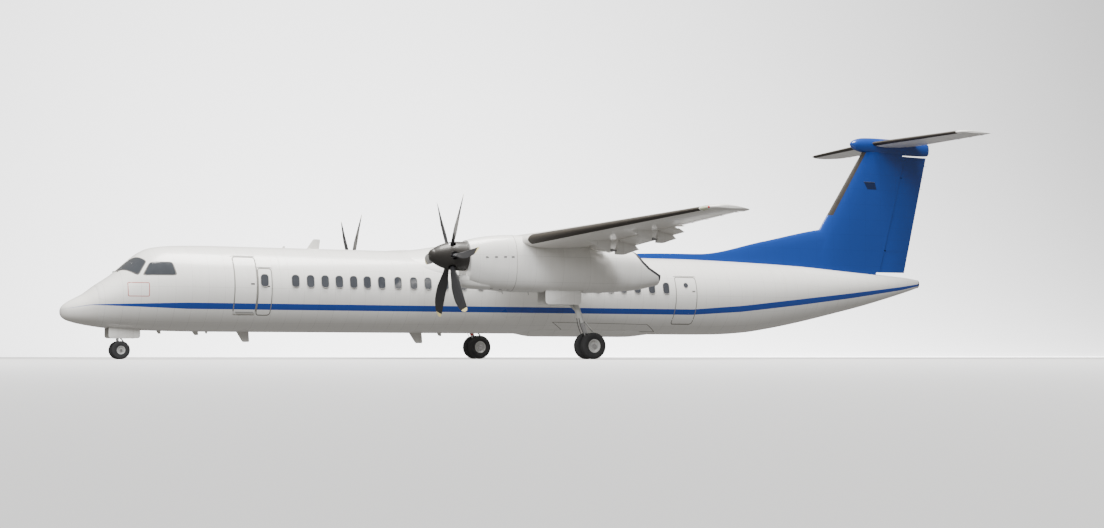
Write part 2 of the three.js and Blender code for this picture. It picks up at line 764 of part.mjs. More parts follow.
function intakeBody(table, side) {
  return loft(table.map(([station, level, halfHeight, halfWidth]) => around(INTAKE_SIDES, (angle) => place(
    station,
    side * NACELLE_OFFSET + halfWidth * Math.cos(angle),
    level + halfHeight * Math.sin(angle),
  ))));
}

const shaftPoint = (station, side) => place(station, side * NACELLE_OFFSET, THRUST_LEVEL);

function cowling(side) {
  const shell = cut(
    nacelleBody(COWL_FACE, COWL_JOINT - FIT, side),
    nacelleBody(COWL_FACE + COWL_WALL, COWL_JOINT + 10, side, COWL_WALL),
  );
  const mouth = rod(shaftPoint(COWL_FACE - 50, side), shaftPoint(COWL_FACE + 100, side), MOUTH_RADIUS);
  return cut(join(shell, intakeBody(INTAKE, side)), intakeBody(INTAKE_THROAT, side), mouth);
}

// Engine and gearbox as one plain block, with the bore that the propeller shaft turns in
const ENGINE = { front: 11560, halfWidth: 340, bottom: 420, top: 1230 };
function engineBlock(side) {
  const body = block(
    place(ENGINE.front, side * NACELLE_OFFSET - ENGINE.halfWidth, ENGINE.bottom),
    place(FIREWALL - FIT, side * NACELLE_OFFSET + ENGINE.halfWidth, ENGINE.top),
  );
  return cut(body, rod(
    shaftPoint(ENGINE.front - 10, side),
    shaftPoint(ENGINE.front + 250, side),
    boreFor(SHAFT_RADIUS, FINE),
  ));
}

// The exhaust mouth is cut back along a curve seen from the side: station, level
const EXHAUST_CUT = [
  [17270, 1290], [17330, 1130], [17480, 930], [17700, 740], [17960, 600], [18130, 510], [18170, 380],
  [18300, 380], [18300, 1600], [17270, 1600],
];
const EXHAUST_END = { front: 18100, halfWidth: 320, bottom: 240, top: 600 };
const EXHAUST_FRONT = 16900;
const EXHAUST_WALL = 35;
const ENGINE_POCKET = { wall: 60, top: 1360 };
const WHEEL_WELL = { front: 14020, rear: 15320, roof: 800 };

function nacelle(side, wing) {
  const y = side * NACELLE_OFFSET;
  const exhaust = loft([-900, 900].map((across) => (
    EXHAUST_CUT.map(([station, level]) => place(station, y + across, level)))));
  const well = block(
    place(WHEEL_WELL.front, y - BAY_HALF_WIDTH, -300),
    place(WHEEL_WELL.rear, y + BAY_HALF_WIDTH, WHEEL_WELL.roof),
  );
  const enginePocket = nacelleBody(COWL_JOINT - 10, FIREWALL, side, ENGINE_POCKET.wall);
  return cut(
    nacelleBody(COWL_JOINT, NACELLE_REAR, side),
    cut(enginePocket, block(
      place(COWL_JOINT - 50, y - 900, ENGINE_POCKET.top),
      place(FIREWALL + 50, y + 900, 2000),
    )),
    nacelleBody(EXHAUST_FRONT, NACELLE_REAR, side, EXHAUST_WALL),
    block(
      place(EXHAUST_END.front, y - EXHAUST_END.halfWidth, EXHAUST_END.bottom),
      place(NACELLE_REAR + 60, y + EXHAUST_END.halfWidth, EXHAUST_END.top),
    ),
    exhaust,
    well,
    wing,
    flapArmBore(side, 'nacelle'),
  );
}

// The arms that carry the inner flap: pins at the nacelle's wall and at the fairing beside the fuselage
function flapArmPins(side) {
  const line = flapHinge(INNER_FLAP, side);
  const [inner, outer] = INNER_FLAP;
  return {
    nacelle: [crossing(line, side * (outer - 40)), crossing(line, side * (outer + 110))],
    fairing: [crossing(line, side * (inner + 40)), crossing(line, side * (inner - 115))],
  };
}

function flapArmBore(side, end) {
  const [from, to] = flapArmPins(side)[end];
  const beyond = new THREE.Vector3().subVectors(to, from).normalize();
  return rod(from, to.clone().addScaledVector(beyond, 2), boreFor(HINGE_PIN, MEDIUM), MEDIUM);
}

function innerFlap(side) {
  const line = flapHinge(INNER_FLAP, side);
  const blade = loft(INNER_FLAP.map((y) => flapRing(y, side)));
  const pins = flapArmPins(side);
  const arms = Object.values(pins).map(([from, to]) => {
    const head = from.clone().add(new THREE.Vector3(-0.12 * ROOT_CHORD, 0, 0.15 * ROOT_CHORD));
    const face = (reach) => from.clone().addScaledVector(PORT, reach);
    return join(
      bar(from, head, 34, 90),
      rod(face(-17), face(17), 48, COARSE),
      rod(from, to, HINGE_PIN, MEDIUM),
    );
  });
  return droopOf(join(blade, ...arms), line, side, FLAP_DROOP);
}

// Wing centre section, from nacelle to nacelle over the fuselage
const wingCentreBody = loft([wingRing(WING_KINK, -1), wingRing(WING_KINK, 1)]);
const wingCentre = cut(
  wingCentreBody,
  flapSpace(INNER_FLAP[0] - 20, INNER_FLAP[1] + 20, 1),
  flapSpace(INNER_FLAP[0] - 20, INNER_FLAP[1] + 20, -1),
);
const wingSeat = grown(wingCentreBody, FIT);

const fuselageCentre = join(
  cut(fuselageBody(FORWARD_JOINT, AFT_JOINT - FIT), wingSeat),
  ...CENTRE_AERIALS.map(aerial),
);

// Wing to body fairing: station, top level at the middle, level of its lower edge
const SADDLE = [
  [10950, 1351, 1240],
  [11400, 1400, 800],
  [12100, 1500, 590],
  [12900, 1560, 540],
  [13600, 1560, 520],
  [16200, 1500, 520],
  [17400, 1440, 640],
  [18500, 1352, 1200],
];
const SADDLE_STEPS = 5;
function saddleRing([station, top, edge]) {
  const low = Math.asin(edge / RADIUS);
  const outer = Array.from({ length: 2 * SADDLE_STEPS + 1 }, (_, k) => {
    const share = k / SADDLE_STEPS - 1;
    const angle = Math.PI / 2 + share * (Math.PI / 2 - low);
    const bulge = lerp(3, top - RADIUS, (1 - Math.abs(share)) ** 0.6);
    return place(station, (RADIUS + bulge) * Math.cos(angle), (RADIUS + bulge) * Math.sin(angle));
  });
  const inner = [[-0.9, 0.93], [0.9, 0.93]].map(([across, down]) => (
    place(station, across * RADIUS * Math.cos(low), down * RADIUS * Math.sin(low))));
  return [...outer, ...inner];
}
const wingBodyFairing = cut(
  loft(SADDLE.map(saddleRing)),
  barrelSkin,
  wingSeat,
  flapArmBore(1, 'fairing'),
  flapArmBore(-1, 'fairing'),
);

// Propeller: blade sections as radius, chord, sweep back, thickness, pitch. FIRST_BLADE is in steps
// from one blade to the next, so two blades stand up, two down and two lie level.
const BLADE = [
  [230, 150, 0, 110, 62],
  [520, 165, 5, 75, 58],
  [800, 250, 5, 50, 50],
  [1150, 325, -10, 36, 42],
  [1500, 345, 0, 27, 35],
  [1850, 280, 55, 18, 31],
  [1990, 195, 100, 12, 29],
  [PROPELLER_RADIUS, 90, 130, 7, 28],
];
const BLADE_SIDES = 6;
const BLADE_HOLE = 125;
const FIRST_BLADE = 0.5;
const HUB_FRONT = 10690;
const HUB_RADIUS = 280;

function bladeSolid(turn) {
  const rings = BLADE.map(([radius, chord, sweep, thickness, pitch]) => around(BLADE_SIDES, (angle) => {
    const along = (chord / 2) * Math.cos(angle) - sweep;
    const over = (thickness / 2) * Math.sin(angle);
    const [c, s] = [Math.cos(rad(pitch)), Math.sin(rad(pitch))];
    return new THREE.Vector3(along * s - over * c, along * c + over * s, radius);
  }));
  return loft(rings.map((ring) => ring.map((point) => (
    point.applyAxisAngle(FORE, turn).add(new THREE.Vector3(LENGTH / 2 - PROPELLER_STATION, 0, 0))))));
}

// Both are drawn about the shaft's own line, as it lies at the middle of the aeroplane and at height 0
const onShaft = (station, radius = 0) => new THREE.Vector3(LENGTH / 2 - station, 0, radius);
function propeller() {
  return join(
    rod(onShaft(HUB_FRONT), onShaft(SPINNER_REAR - 45), HUB_RADIUS, MEDIUM),
    rod(onShaft(SPINNER_REAR - 45), onShaft(SPINNER_REAR - 10), SPINNER_RADIUS - SPINNER_WALL - FIT),
    rod(onShaft(SPINNER_REAR - 45), onShaft(ENGINE.front + 240), SHAFT_RADIUS),
    ...around(BLADES, bladeSolid, FIRST_BLADE),
  );
}

// Spinner profile: station, radius
const SPINNER = [
  [SPINNER_TIP, 0],
  [10210, 85],
  [10320, 200],
  [10540, 325],
  [10820, 415],
  [11100, SPINNER_RADIUS],
  [SPINNER_REAR, SPINNER_RADIUS],
];
const SPINNER_INSIDE = [
  [SPINNER_REAR, SPINNER_RADIUS - SPINNER_WALL],
  [11050, SPINNER_RADIUS - SPINNER_WALL],
  [10600, 290],
  [10450, 0],
];
function spinner() {
  const profile = [...SPINNER, ...SPINNER_INSIDE].map(([station, radius]) => (
    new THREE.Vector2(radius, SPINNER_REAR - station)));
  const geometry = new THREE.LatheGeometry(profile.reverse(), FINE);
  geometry.rotateZ(-Math.PI / 2).rotateX(Math.PI / 2);
  geometry.translate(LENGTH / 2 - SPINNER_REAR, 0, 0);
  const holes = around(BLADES, (turn) => {
    const out = (radius) => onShaft(PROPELLER_STATION, radius).applyAxisAngle(FORE, turn);
    return rod(out(300), out(600), BLADE_HOLE, BLADE_SIDES);
  }, FIRST_BLADE);
  return cut(solidOf(geometry), ...holes);
}

// Fin sections: level, leading edge station, hinge station, half thickness
const FIN = [
  [700, 26500, 30310, 215],
  [2650, 27770, 30880, 195],
  [FIN_TOP, 29870, 31800, 140],
];
const FIN_SECTION = [0, 0.02, 0.08, 0.2, 0.4, 0.65, 1];
const FIN_FULLNESS = [0, 0.3, 0.6, 0.88, 1, 0.93, 0.7];
const RUDDER_GAP = 165;

function finRing([level, leading, hinge, half]) {
  const rear = hinge - RUDDER_GAP;
  const side = (sign) => FIN_SECTION.map((share, k) => (
    place(lerp(leading, rear, share), sign * half * FIN_FULLNESS[k], level)));
  return [...side(1), ...side(-1).slice(1).reverse()];
}

// Dorsal fillet ahead of the fin: station, top level, half width
const DORSAL = [
  [18800, 1352, 40],
  [19700, 1490, 60],
  [20900, 1540, 70],
  [22500, 1560, 78],
  [25200, 2080, 110],
  [27760, 2600, 150],
  [28600, 2700, 150],
];
const dorsalRing = ([station, top, half]) => [
  [0, top], [half * 0.55, top - 90], [half, top - 400], [half * 1.35, 900],
  [-half * 1.35, 900], [-half, top - 400], [-half * 0.55, top - 90],
].map(([y, level]) => place(station, y, Math.max(level, y === 0 ? level : 800)));

const hingeStation = (level) => between(FIN, level)[2];
const rudderHinge = lineOf(
  place(hingeStation(RUDDER_BOTTOM), 0, RUDDER_BOTTOM),
  place(hingeStation(FIN_TOP), 0, FIN_TOP),
);
const hingeAtLevel = (level) => rudderHinge.point.clone().addScaledVector(
  rudderHinge.axis,
  (CENTRELINE_HEIGHT + level - rudderHinge.point.z) / rudderHinge.axis.z,
);

// Rudder sections: level, nose radius, chord behind the hinge line
const RUDDER = [
  [RUDDER_BOTTOM, 118, 1240],
  [RUDDER_TOP, 78, 1040],
];
const RUDDER_BRACKETS = [1900, 4700];

const finBody = loft(FIN.map(finRing));
const tailSkin = grown(fuselageBody(DORSAL[0][0] - 100, TAIL_END), FIT);
const finBase = cut(join(finBody, loft(DORSAL.map(dorsalRing))), tailSkin);
const rudderBase = loft(RUDDER.map(([level, nose, chord]) => (
  surfaceRing(hingeAtLevel(level), nose, chord, AFT, PORT))));
const [fin, rudder] = withBrackets(finBase, rudderBase, RUDDER_BRACKETS.map((level) => (
  bracket(hingeAtLevel(level), rudderHinge.axis, FORE, 118, RUDDER_GAP + 70))));

// Tailplane: distance from the middle, leading edge station, chord
const TAILPLANE = [
  [0, 30020, 2130],
  [4400, 30590, 1480],
  [TAILPLANE_HALF_SPAN, 30850, 1150],
];
function tailPoint(y, side, aft, up) {
  const [, leading, chord] = between(TAILPLANE, y);
  return place(leading + aft * chord, side * y, TAILPLANE_LEVEL + up * chord);
}
const tailHalf = (aft) => halfThickness(aft, TAILPLANE_THICKNESS);
const TAIL_SECTION = [1, 0.62, 0.36, 0.17, 0.06, 0.015, 0];
function tailRing(y, side, thin = 1) {
  const upper = TAIL_SECTION.map((at) => tailPoint(y, side, at, thin * tailHalf(at)));
  const lower = TAIL_SECTION.slice(0, -1).reverse().map((at) => tailPoint(y, side, at, -thin * tailHalf(at)));
  return [...upper, ...lower];
}
const elevatorSpace = (side) => loft([ELEVATOR[0] - 15, ELEVATOR[1] + 15].map((y) => (
  [[ELEVATOR_SPAR, -0.3], [ELEVATOR_SPAR, 0.3], [1.2, 0.3], [1.2, -0.3]]
    .map(([aft, up]) => tailPoint(y, side, aft, up)))));
const tailplaneBody = loft([
  tailRing(TAILPLANE_HALF_SPAN, -1, 0.5),
  tailRing(4400, -1),
  tailRing(0, 1),
  tailRing(4400, 1),
  tailRing(TAILPLANE_HALF_SPAN, 1, 0.5),
]);
let tailplane = cut(tailplaneBody, elevatorSpace(1), elevatorSpace(-1));
const elevatorHinge = (side) => lineOf(
  tailPoint(ELEVATOR[0], side, ELEVATOR_HINGE, 0),
  tailPoint(ELEVATOR[1], side, ELEVATOR_HINGE, 0),
);
const elevators = {};
for (const [sideName, side] of Object.entries(SIDES)) {
  const hinge = elevatorHinge(side);
  const chordAt = (y) => between(TAILPLANE, y)[2];
  const noseRadius = (y) => tailHalf(ELEVATOR_HINGE) * chordAt(y);
  const surface = loft(ELEVATOR.map((y) => surfaceRing(
    crossing(hinge, side * y),
    noseRadius(y),
    (1 - ELEVATOR_HINGE) * chordAt(y),
    AFT,
    UP,
  )));
  const brackets = [ELEVATOR[0] + 450, ELEVATOR[1] - 450].map((y) => (
    bracket(crossing(hinge, side * y), hinge.axis, FORE, noseRadius(y), 0.1 * chordAt(y))));
  [tailplane, elevators[sideName]] = withBrackets(tailplane, surface, brackets);
}

// Bullet fairing over the joint of fin and tailplane: station, half width, top level, bottom level
const BULLET = [
  [29230, 80, 5960, 5810],
  [29300, 145, 6015, 5735],
  [29480, 195, 6090, 5650],
  [29800, 228, 6145, 5590],
  [30300, BULLET_HALF_WIDTH, BULLET_TOP, 5565],
  [31600, 215, 6150, 5565],
  [32450, 145, 6095, 5570],
  [LENGTH, 110, 6050, 5600],
];
const bulletBody = loft(BULLET.map(([station, halfWidth, top, bottom]) => around(MEDIUM, (angle) => {
  const rise = ((top - bottom) / 2) * Math.sin(angle);
  return place(station, halfWidth * Math.cos(angle), (top + bottom) / 2 + rise);
})));
const bulletFairing = cut(
  bulletBody,
  grown(tailplaneBody, FIT),
  grown(finBody, FIT),
);

// Wheels, drawn about their own axle along Y. They stand on a flat, which lies at the tyre's radius.
const HALF_FLAT = Math.PI / FINE;
function tyre({ radius, width, rim }) {
  const half = width / 2;
  const tread = radius / Math.cos(HALF_FLAT);
  const side = [
    [rim, 0.8 * half],
    [(tread + rim) / 2, half],
    [0.92 * tread, 0.88 * half],
    [tread, 0.45 * half],
  ];
  const other = side.map(([r, y]) => [r, -y]);
  const profile = [...other, ...side.reverse(), other[0]].map(([r, y]) => new THREE.Vector2(r, y));
  return new THREE.LatheGeometry(profile, FINE);
}

// Twin wheel rims on one axle
function wheelPair({ width, rim, offset }, axleRadius) {
  const bead = rim - FIT;
  const half = 0.36 * width;
  const rims = [-1, 1].map((side) => {
    const face = (depth) => new THREE.Vector3(0, side * offset + depth, 0);
    const recess = rod(face(side * half * 0.35), face(side * (half + 10)), 0.78 * rim, COARSE);
    return cut(rod(face(-half), face(half), bead), recess);
  });
  const caps = [-1, 1].map((side) => rod(
    new THREE.Vector3(0, side * offset, 0),
    new THREE.Vector3(0, side * (offset + half + 12), 0),
    axleRadius * 1.7,
    COARSE,
  ));
  const axle = rod(new THREE.Vector3(0, -offset, 0), new THREE.Vector3(0, offset, 0), axleRadius);
  return join(axle, ...rims, ...caps);
}

const NOSE_AXLE_RADIUS = 28;
const MAIN_AXLE_RADIUS = 42;
const noseAxleLevel = NOSE_TYRE.radius - CENTRELINE_HEIGHT;
const mainAxleLevel = MAIN_TYRE.radius - CENTRELINE_HEIGHT;
const steeringStation = NOSE_AXLE - NOSE_TRAIL;

// Nose gear: the fixed cylinder with its cross tube and drag strut
const PISTON = 42;
const CYLINDER_FOOT = -1500;
const noseLeg = (() => {
  const onLeg = (level) => place(steeringStation, 0, level);
  const strutStation = NOSE_BAY.rear - 80;
  const crossTube = (station, level, radius) => rod(
    place(station, -BAY_HALF_WIDTH + FIT, level),
    place(station, BAY_HALF_WIDTH - FIT, level),
    radius,
    MEDIUM,
  );
  const leg = join(
    rod(onLeg(CYLINDER_FOOT), onLeg(NOSE_BAY.roof - FIT), 70, MEDIUM),
    crossTube(steeringStation, -860, 45),
    crossTube(strutStation, -830, 26),
    rod(onLeg(-1280), place(strutStation, 0, -830), 28, COARSE),
  );
  return cut(leg, rod(onLeg(-1290), onLeg(CYLINDER_FOOT - 20), boreFor(PISTON, FINE)));
})();

// The steered piston, its collar, and the fork that holds the axle
const noseSteering = (() => {
  const axle = (y) => place(NOSE_AXLE, y, noseAxleLevel);
  const onLeg = (level) => place(steeringStation, 0, level);
  const piston = rod(onLeg(-1300), onLeg(noseAxleLevel + 60), PISTON);
  const collar = rod(onLeg(CYLINDER_FOOT - FIT), onLeg(CYLINDER_FOOT - 60), 66, MEDIUM);
  const boss = rod(axle(-58), axle(58), 58, MEDIUM);
  const arm = bar(onLeg(noseAxleLevel + 110), axle(0), 90, 84);
  const towLug = block(
    place(steeringStation - 110, -45, noseAxleLevel - 20),
    place(steeringStation, 45, noseAxleLevel + 60),
  );
  const bore = rod(axle(-80), axle(80), boreFor(NOSE_AXLE_RADIUS, FINE));
  return cut(join(piston, collar, boss, arm, towLug), bore);
})();

function noseDoor(side) {
  const inner = side * (BAY_HALF_WIDTH - FIT);
  const outer = side * (BAY_HALF_WIDTH - FIT - DOOR_SHEET);
  return block(place(NOSE_BAY.front + 20, inner, -1185), place(NOSE_BAY.rear - 20, outer, -1560));
}

// Main gear: leg with its trunnion, forward brace and axle boss
const MAIN_TRUNNION = { station: 14900, level: 420 };
const MAIN_BRACE = { station: 14130, level: 330 };
function mainLeg(side) {
  const y = side * NACELLE_OFFSET;
  const head = place(MAIN_TRUNNION.station, y, MAIN_TRUNNION.level);
  const foot = place(MAIN_AXLE, y, mainAxleLevel);
  const partway = (share) => new THREE.Vector3().lerpVectors(head, foot, share);
  const cross = ({ station, level }, radius) => rod(
    place(station, y - BAY_HALF_WIDTH + FIT, level),
    place(station, y + BAY_HALF_WIDTH - FIT, level),
    radius,
    MEDIUM,
  );
  const axle = (reach) => place(MAIN_AXLE, y + reach, mainAxleLevel);
  const padLevel = mainAxleLevel - 110;
  const pad = block(place(MAIN_AXLE - 50, y - 45, mainAxleLevel), place(MAIN_AXLE + 50, y + 45, padLevel));
  const bore = rod(axle(-120), axle(120), boreFor(MAIN_AXLE_RADIUS, FINE));
  return cut(join(
    rod(head, partway(0.66), 92, MEDIUM),
    rod(partway(0.6), foot, 66, MEDIUM),
    cross(MAIN_TRUNNION, 70),
    cross(MAIN_BRACE, 45),
    rod(partway(0.52), place(MAIN_BRACE.station, y, MAIN_BRACE.level), 45, COARSE),
    rod(axle(-88), axle(88), 78, MEDIUM),
    pad,
  ), bore);
}

function mainDoor(side, inboard) {
  const y = side * NACELLE_OFFSET;
  const way = inboard ? -side : side;
  return block(
    place(WHEEL_WELL.front + 20, y + way * (BAY_HALF_WIDTH - FIT), 60),
    place(WHEEL_WELL.rear - 20, y + way * (BAY_HALF_WIDTH - FIT - DOOR_SHEET), -480),
  );
}

// Finishes: colour, roughness, metalness
const FINISHES = {
  white_paint: [0xe9e7e2, 0.35, 0.0],
  blue_paint: [0x2350a5, 0.35, 0.0],
  radome_paint: [0xe6e4df, 0.4, 0.0],
  glass: [0x26282b, 0.08, 0.0],
  spinner_paint: [0x1d1d20, 0.35, 0.0],
  blade_composite: [0x34353a, 0.5, 0.0],
  tyre: [0x232325, 0.9, 0.0],
  gear_paint: [0xc9cacb, 0.4, 0.3],
  wheel_metal: [0xb9babb, 0.4, 0.7],
  engine_metal: [0x77797c, 0.5, 0.8],
};
const materials = Object.fromEntries(Object.entries(FINISHES).map(([name, [color, roughness, metalness]]) => (
  [name, new THREE.MeshStandardMaterial({ name, color, roughness, metalness })])));

const aeroplane = new THREE.Group();

function add(parent, name, shape, finish) {
  const geometry = shape.isBufferGeometry ? shape : geometryOf(shape);
  const mesh = new THREE.Mesh(geometry, materials[finish]);
  mesh.name = name;
  parent.add(mesh);
  return mesh;
}

add(aeroplane, 'radome', radome, 'radome_paint');
add(aeroplane, 'fuselage_forward', fuselageForward, 'white_paint');
add(aeroplane, 'fuselage_centre', fuselageCentre, 'white_paint');
add(aeroplane, 'fuselage_aft', fuselageAft, 'white_paint');
add(aeroplane, 'tail_cone', tailCone, 'white_paint');
for (const [name, glass] of Object.entries(panes)) add(aeroplane, name, glass, 'glass');
for (const [name, { panel }] of Object.entries(plugs)) add(aeroplane, name, panel, 'white_paint');
add(aeroplane, 'airstair_door', airstairDoor(), 'white_paint');
add(aeroplane, 'ventral_fairing', ventralFairing, 'white_paint');
add(aeroplane, 'wing_body_fairing', wingBodyFairing, 'white_paint');
add(aeroplane, 'wing_centre', wingCentre, 'white_paint');
add(aeroplane, 'fin', fin, 'blue_paint');
add(aeroplane, 'rudder', rudder, 'blue_paint');
add(aeroplane, 'tailplane', tailplane, 'white_paint');
add(aeroplane, 'bullet_fairing', bulletFairing, 'blue_paint');
add(aeroplane, 'nose_leg', noseLeg, 'gear_paint');
add(aeroplane, 'nose_steering_leg', noseSteering, 'gear_paint');

const noseWheels = new THREE.Group();
noseWheels.position.copy(place(NOSE_AXLE, 0, noseAxleLevel));
noseWheels.rotation.y = HALF_FLAT;
add(noseWheels, 'nose_wheel_rims', wheelPair(NOSE_TYRE, NOSE_AXLE_RADIUS), 'wheel_metal');
aeroplane.add(noseWheels);

for (const [sideName, side] of Object.entries(SIDES)) {
  const { wing, flap, aileron } = outerWing(side);
  add(aeroplane, `wing_${sideName}`, wing, 'white_paint');
  add(aeroplane, `flap_outer_${sideName}`, flap, 'white_paint');
  add(aeroplane, `aileron_${sideName}`, aileron, 'white_paint');
  add(aeroplane, `flap_inner_${sideName}`, innerFlap(side), 'white_paint');
  add(aeroplane, `elevator_${sideName}`, elevators[sideName], 'white_paint');
  add(aeroplane, `nacelle_${sideName}`, nacelle(side, wingSeat), 'white_paint');
  add(aeroplane, `cowling_${sideName}`, cowling(side), 'white_paint');
  add(aeroplane, `engine_${sideName}`, engineBlock(side), 'engine_metal');

  const shaft = new THREE.Group();
  shaft.position.set(0, side * NACELLE_OFFSET, CENTRELINE_HEIGHT + THRUST_LEVEL);
  add(shaft, `propeller_${sideName}`, propeller(), 'blade_composite');
  add(shaft, `spinner_${sideName}`, spinner(), 'spinner_paint');
  aeroplane.add(shaft);

  add(aeroplane, `nose_door_${sideName}`, noseDoor(side), 'white_paint');
  const noseTyre = add(noseWheels, `nose_tyre_${sideName}`, tyre(NOSE_TYRE), 'tyre');
  noseTyre.position.y = side * NOSE_TYRE.offset;

  add(aeroplane, `main_leg_${sideName}`, mainLeg(side), 'gear_paint');
  add(aeroplane, `main_door_outboard_${sideName}`, mainDoor(side, false), 'white_paint');
  add(aeroplane, `main_door_inboard_${sideName}`, mainDoor(side, true), 'white_paint');
  const mainWheels = new THREE.Group();
  mainWheels.position.copy(place(MAIN_AXLE, side * NACELLE_OFFSET, mainAxleLevel));
  mainWheels.rotation.y = HALF_FLAT;
  add(mainWheels, `main_wheel_rims_${sideName}`, wheelPair(MAIN_TYRE, MAIN_AXLE_RADIUS), 'wheel_metal');
  for (const [tyreName, way] of [['outboard', side], ['inboard', -side]]) {
    const mainTyre = add(mainWheels, `main_tyre_${tyreName}_${sideName}`, tyre(MAIN_TYRE), 'tyre');
    mainTyre.position.y = way * MAIN_TYRE.offset;
  }
  aeroplane.add(mainWheels);
}

export default aeroplane;
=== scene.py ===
import math

import bmesh
import bpy
from mathutils import Matrix, Vector


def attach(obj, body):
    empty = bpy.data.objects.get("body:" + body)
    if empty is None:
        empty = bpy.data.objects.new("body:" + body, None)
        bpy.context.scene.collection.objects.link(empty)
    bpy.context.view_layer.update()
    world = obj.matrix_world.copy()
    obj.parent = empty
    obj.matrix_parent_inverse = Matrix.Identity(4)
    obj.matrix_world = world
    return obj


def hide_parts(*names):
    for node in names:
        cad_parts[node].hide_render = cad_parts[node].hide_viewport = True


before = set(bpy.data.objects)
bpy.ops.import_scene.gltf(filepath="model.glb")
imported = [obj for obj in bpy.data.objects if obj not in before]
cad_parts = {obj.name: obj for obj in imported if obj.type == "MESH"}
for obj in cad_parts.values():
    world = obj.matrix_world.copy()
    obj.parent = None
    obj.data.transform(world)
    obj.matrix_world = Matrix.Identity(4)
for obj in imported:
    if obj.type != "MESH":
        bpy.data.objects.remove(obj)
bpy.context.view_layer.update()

# Studio: a plain pale floor that runs up into the backdrop, four large soft lamps and an even sky.
# The camera stands at floor level, ahead of the port wing, and looks slightly up at the aeroplane.
CAMERA_AHEAD = 26.6
CAMERA_DISTANCE = 60.6
CAMERA_HEIGHT = 0.12
CAMERA_LENS = 57.5
SIGHT = Vector((-0.19, 0.0, 3.26))
LAMPS = (  # name, place, aim, size, power, colour
    ("key_lamp", (2, 4, 52), (0, 0, 3), 30, 92000, (1.0, 0.98, 0.94)),
    ("fill_lamp", (22, 44, 40), (-3, 0, 4), 24, 36000, (0.97, 0.985, 1.0)),
    ("nose_lamp", (46, 30, 26), (8, 0, 3), 20, 13000, (1.0, 0.99, 0.97)),
    ("backdrop_lamp", (-45, -45, 70), (-95, -150, 35), 90, 1300000, (1.0, 1.0, 1.0)),
)


def node(tree, kind, inputs=None, **settings):
    """Adds a node; an input is given a value, or is linked where a socket is given."""
    made = tree.nodes.new(kind)
    for key, value in settings.items():
        setattr(made, key, value)
    for key, value in (inputs or {}).items():
        if isinstance(value, bpy.types.NodeSocket):
            tree.links.new(value, made.inputs[key])
        else:
            made.inputs[key].default_value = value
    return made


def blend(tree, factor, first, second, mode="MIX"):
    """The colour between two colours, or one times the other where mode is MULTIPLY."""
    return node(tree, "ShaderNodeMix", {"Factor": factor, "A": first, "B": second}, data_type="RGBA",
                blend_type=mode).outputs["Result"]


def blank_material(name):
    made = bpy.data.materials.new(name)
    made.use_nodes = True
    made.node_tree.nodes.clear()
    return made


def surface(tree, color, roughness, normal=None, **constants):
    """Principled shader with its output; color and roughness may be sockets."""
    inputs = {"Base Color": color, "Roughness": roughness}
    inputs.update({key.replace("_", " "): value for key, value in constants.items()})
    if normal is not None:
        inputs["Normal"] = normal
    shader = node(tree, "ShaderNodeBsdfPrincipled", inputs)
    node(tree, "ShaderNodeOutputMaterial", {"Surface": shader.outputs["BSDF"]})


def link(made):
    bpy.context.scene.collection.objects.link(made)
    return made


def mesh_object(name, points, faces):
    mesh = bpy.data.meshes.new(name)
    mesh.from_pydata([tuple(point) for point in points], [], faces)
    return link(bpy.data.objects.new(name, mesh))


def build_studio():
    floor_material = blank_material("studio_floor")
    tree = floor_material.node_tree
    noise = node(tree, "ShaderNodeTexNoise", {"Scale": 0.35, "Detail": 3.0}).outputs["Fac"]
    surface(tree, blend(tree, noise, (0.60, 0.60, 0.605, 1), (0.64, 0.64, 0.645, 1)), 0.85)
    half_width, near, far, rise = 420.0, 140.0, -90.0, 110.0
    profile = [(near, 0.0), (far, 0.0)]
    for step in range(1, 17):
        angle = math.radians(90 * step / 16)
        profile.append((far - rise * math.sin(angle), rise * (1 - math.cos(angle))))
    points = [(x, y, z) for y, z in profile for x in (-half_width, half_width)]
    faces = [(2 * i, 2 * i + 1, 2 * i + 3, 2 * i + 2) for i in range(len(profile) - 1)]
    floor = mesh_object("studio_floor", points, faces)
    floor.data.shade_smooth()
    floor.data.materials.append(floor_material)
    floor.visible_diffuse = floor.visible_glossy = False

    world = bpy.data.worlds.new("studio_sky")
    bpy.context.scene.world = world
    world.use_nodes = True
    background = world.node_tree.nodes["Background"]
    background.inputs["Color"].default_value = (1.0, 0.975, 0.93, 1)
    background.inputs["Strength"].default_value = 0.32

    for name, at, to, size, power, color in LAMPS:
        lamp = bpy.data.lights.new(name, "AREA")
        lamp.size, lamp.energy, lamp.color = size, power, color
        lamp_object = link(bpy.data.objects.new(name, lamp))
        lamp_object.location = at
        lamp_object.visible_camera = False
        lamp_object.visible_glossy = name in ("key_lamp", "backdrop_lamp")
        lamp_object.rotation_euler = (Vector(to) - Vector(at)).to_track_quat("-Z", "Y").to_euler()

    camera = bpy.data.cameras.new("photo_camera")
    camera.lens, camera.sensor_width = CAMERA_LENS, 36
    camera.clip_start, camera.clip_end = 0.5, 500
    camera_object = link(bpy.data.objects.new("photo_camera", camera))
    ahead = math.radians(CAMERA_AHEAD)
    out = Vector((math.sin(ahead), math.cos(ahead), 0)) * CAMERA_DISTANCE
    camera_object.location = Vector((SIGHT.x + out.x, SIGHT.y + out.y, CAMERA_HEIGHT))
    camera_object.rotation_euler = (SIGHT - camera_object.location).to_track_quat("-Z", "Y").to_euler()
    bpy.context.scene.camera = camera_object


build_studio()


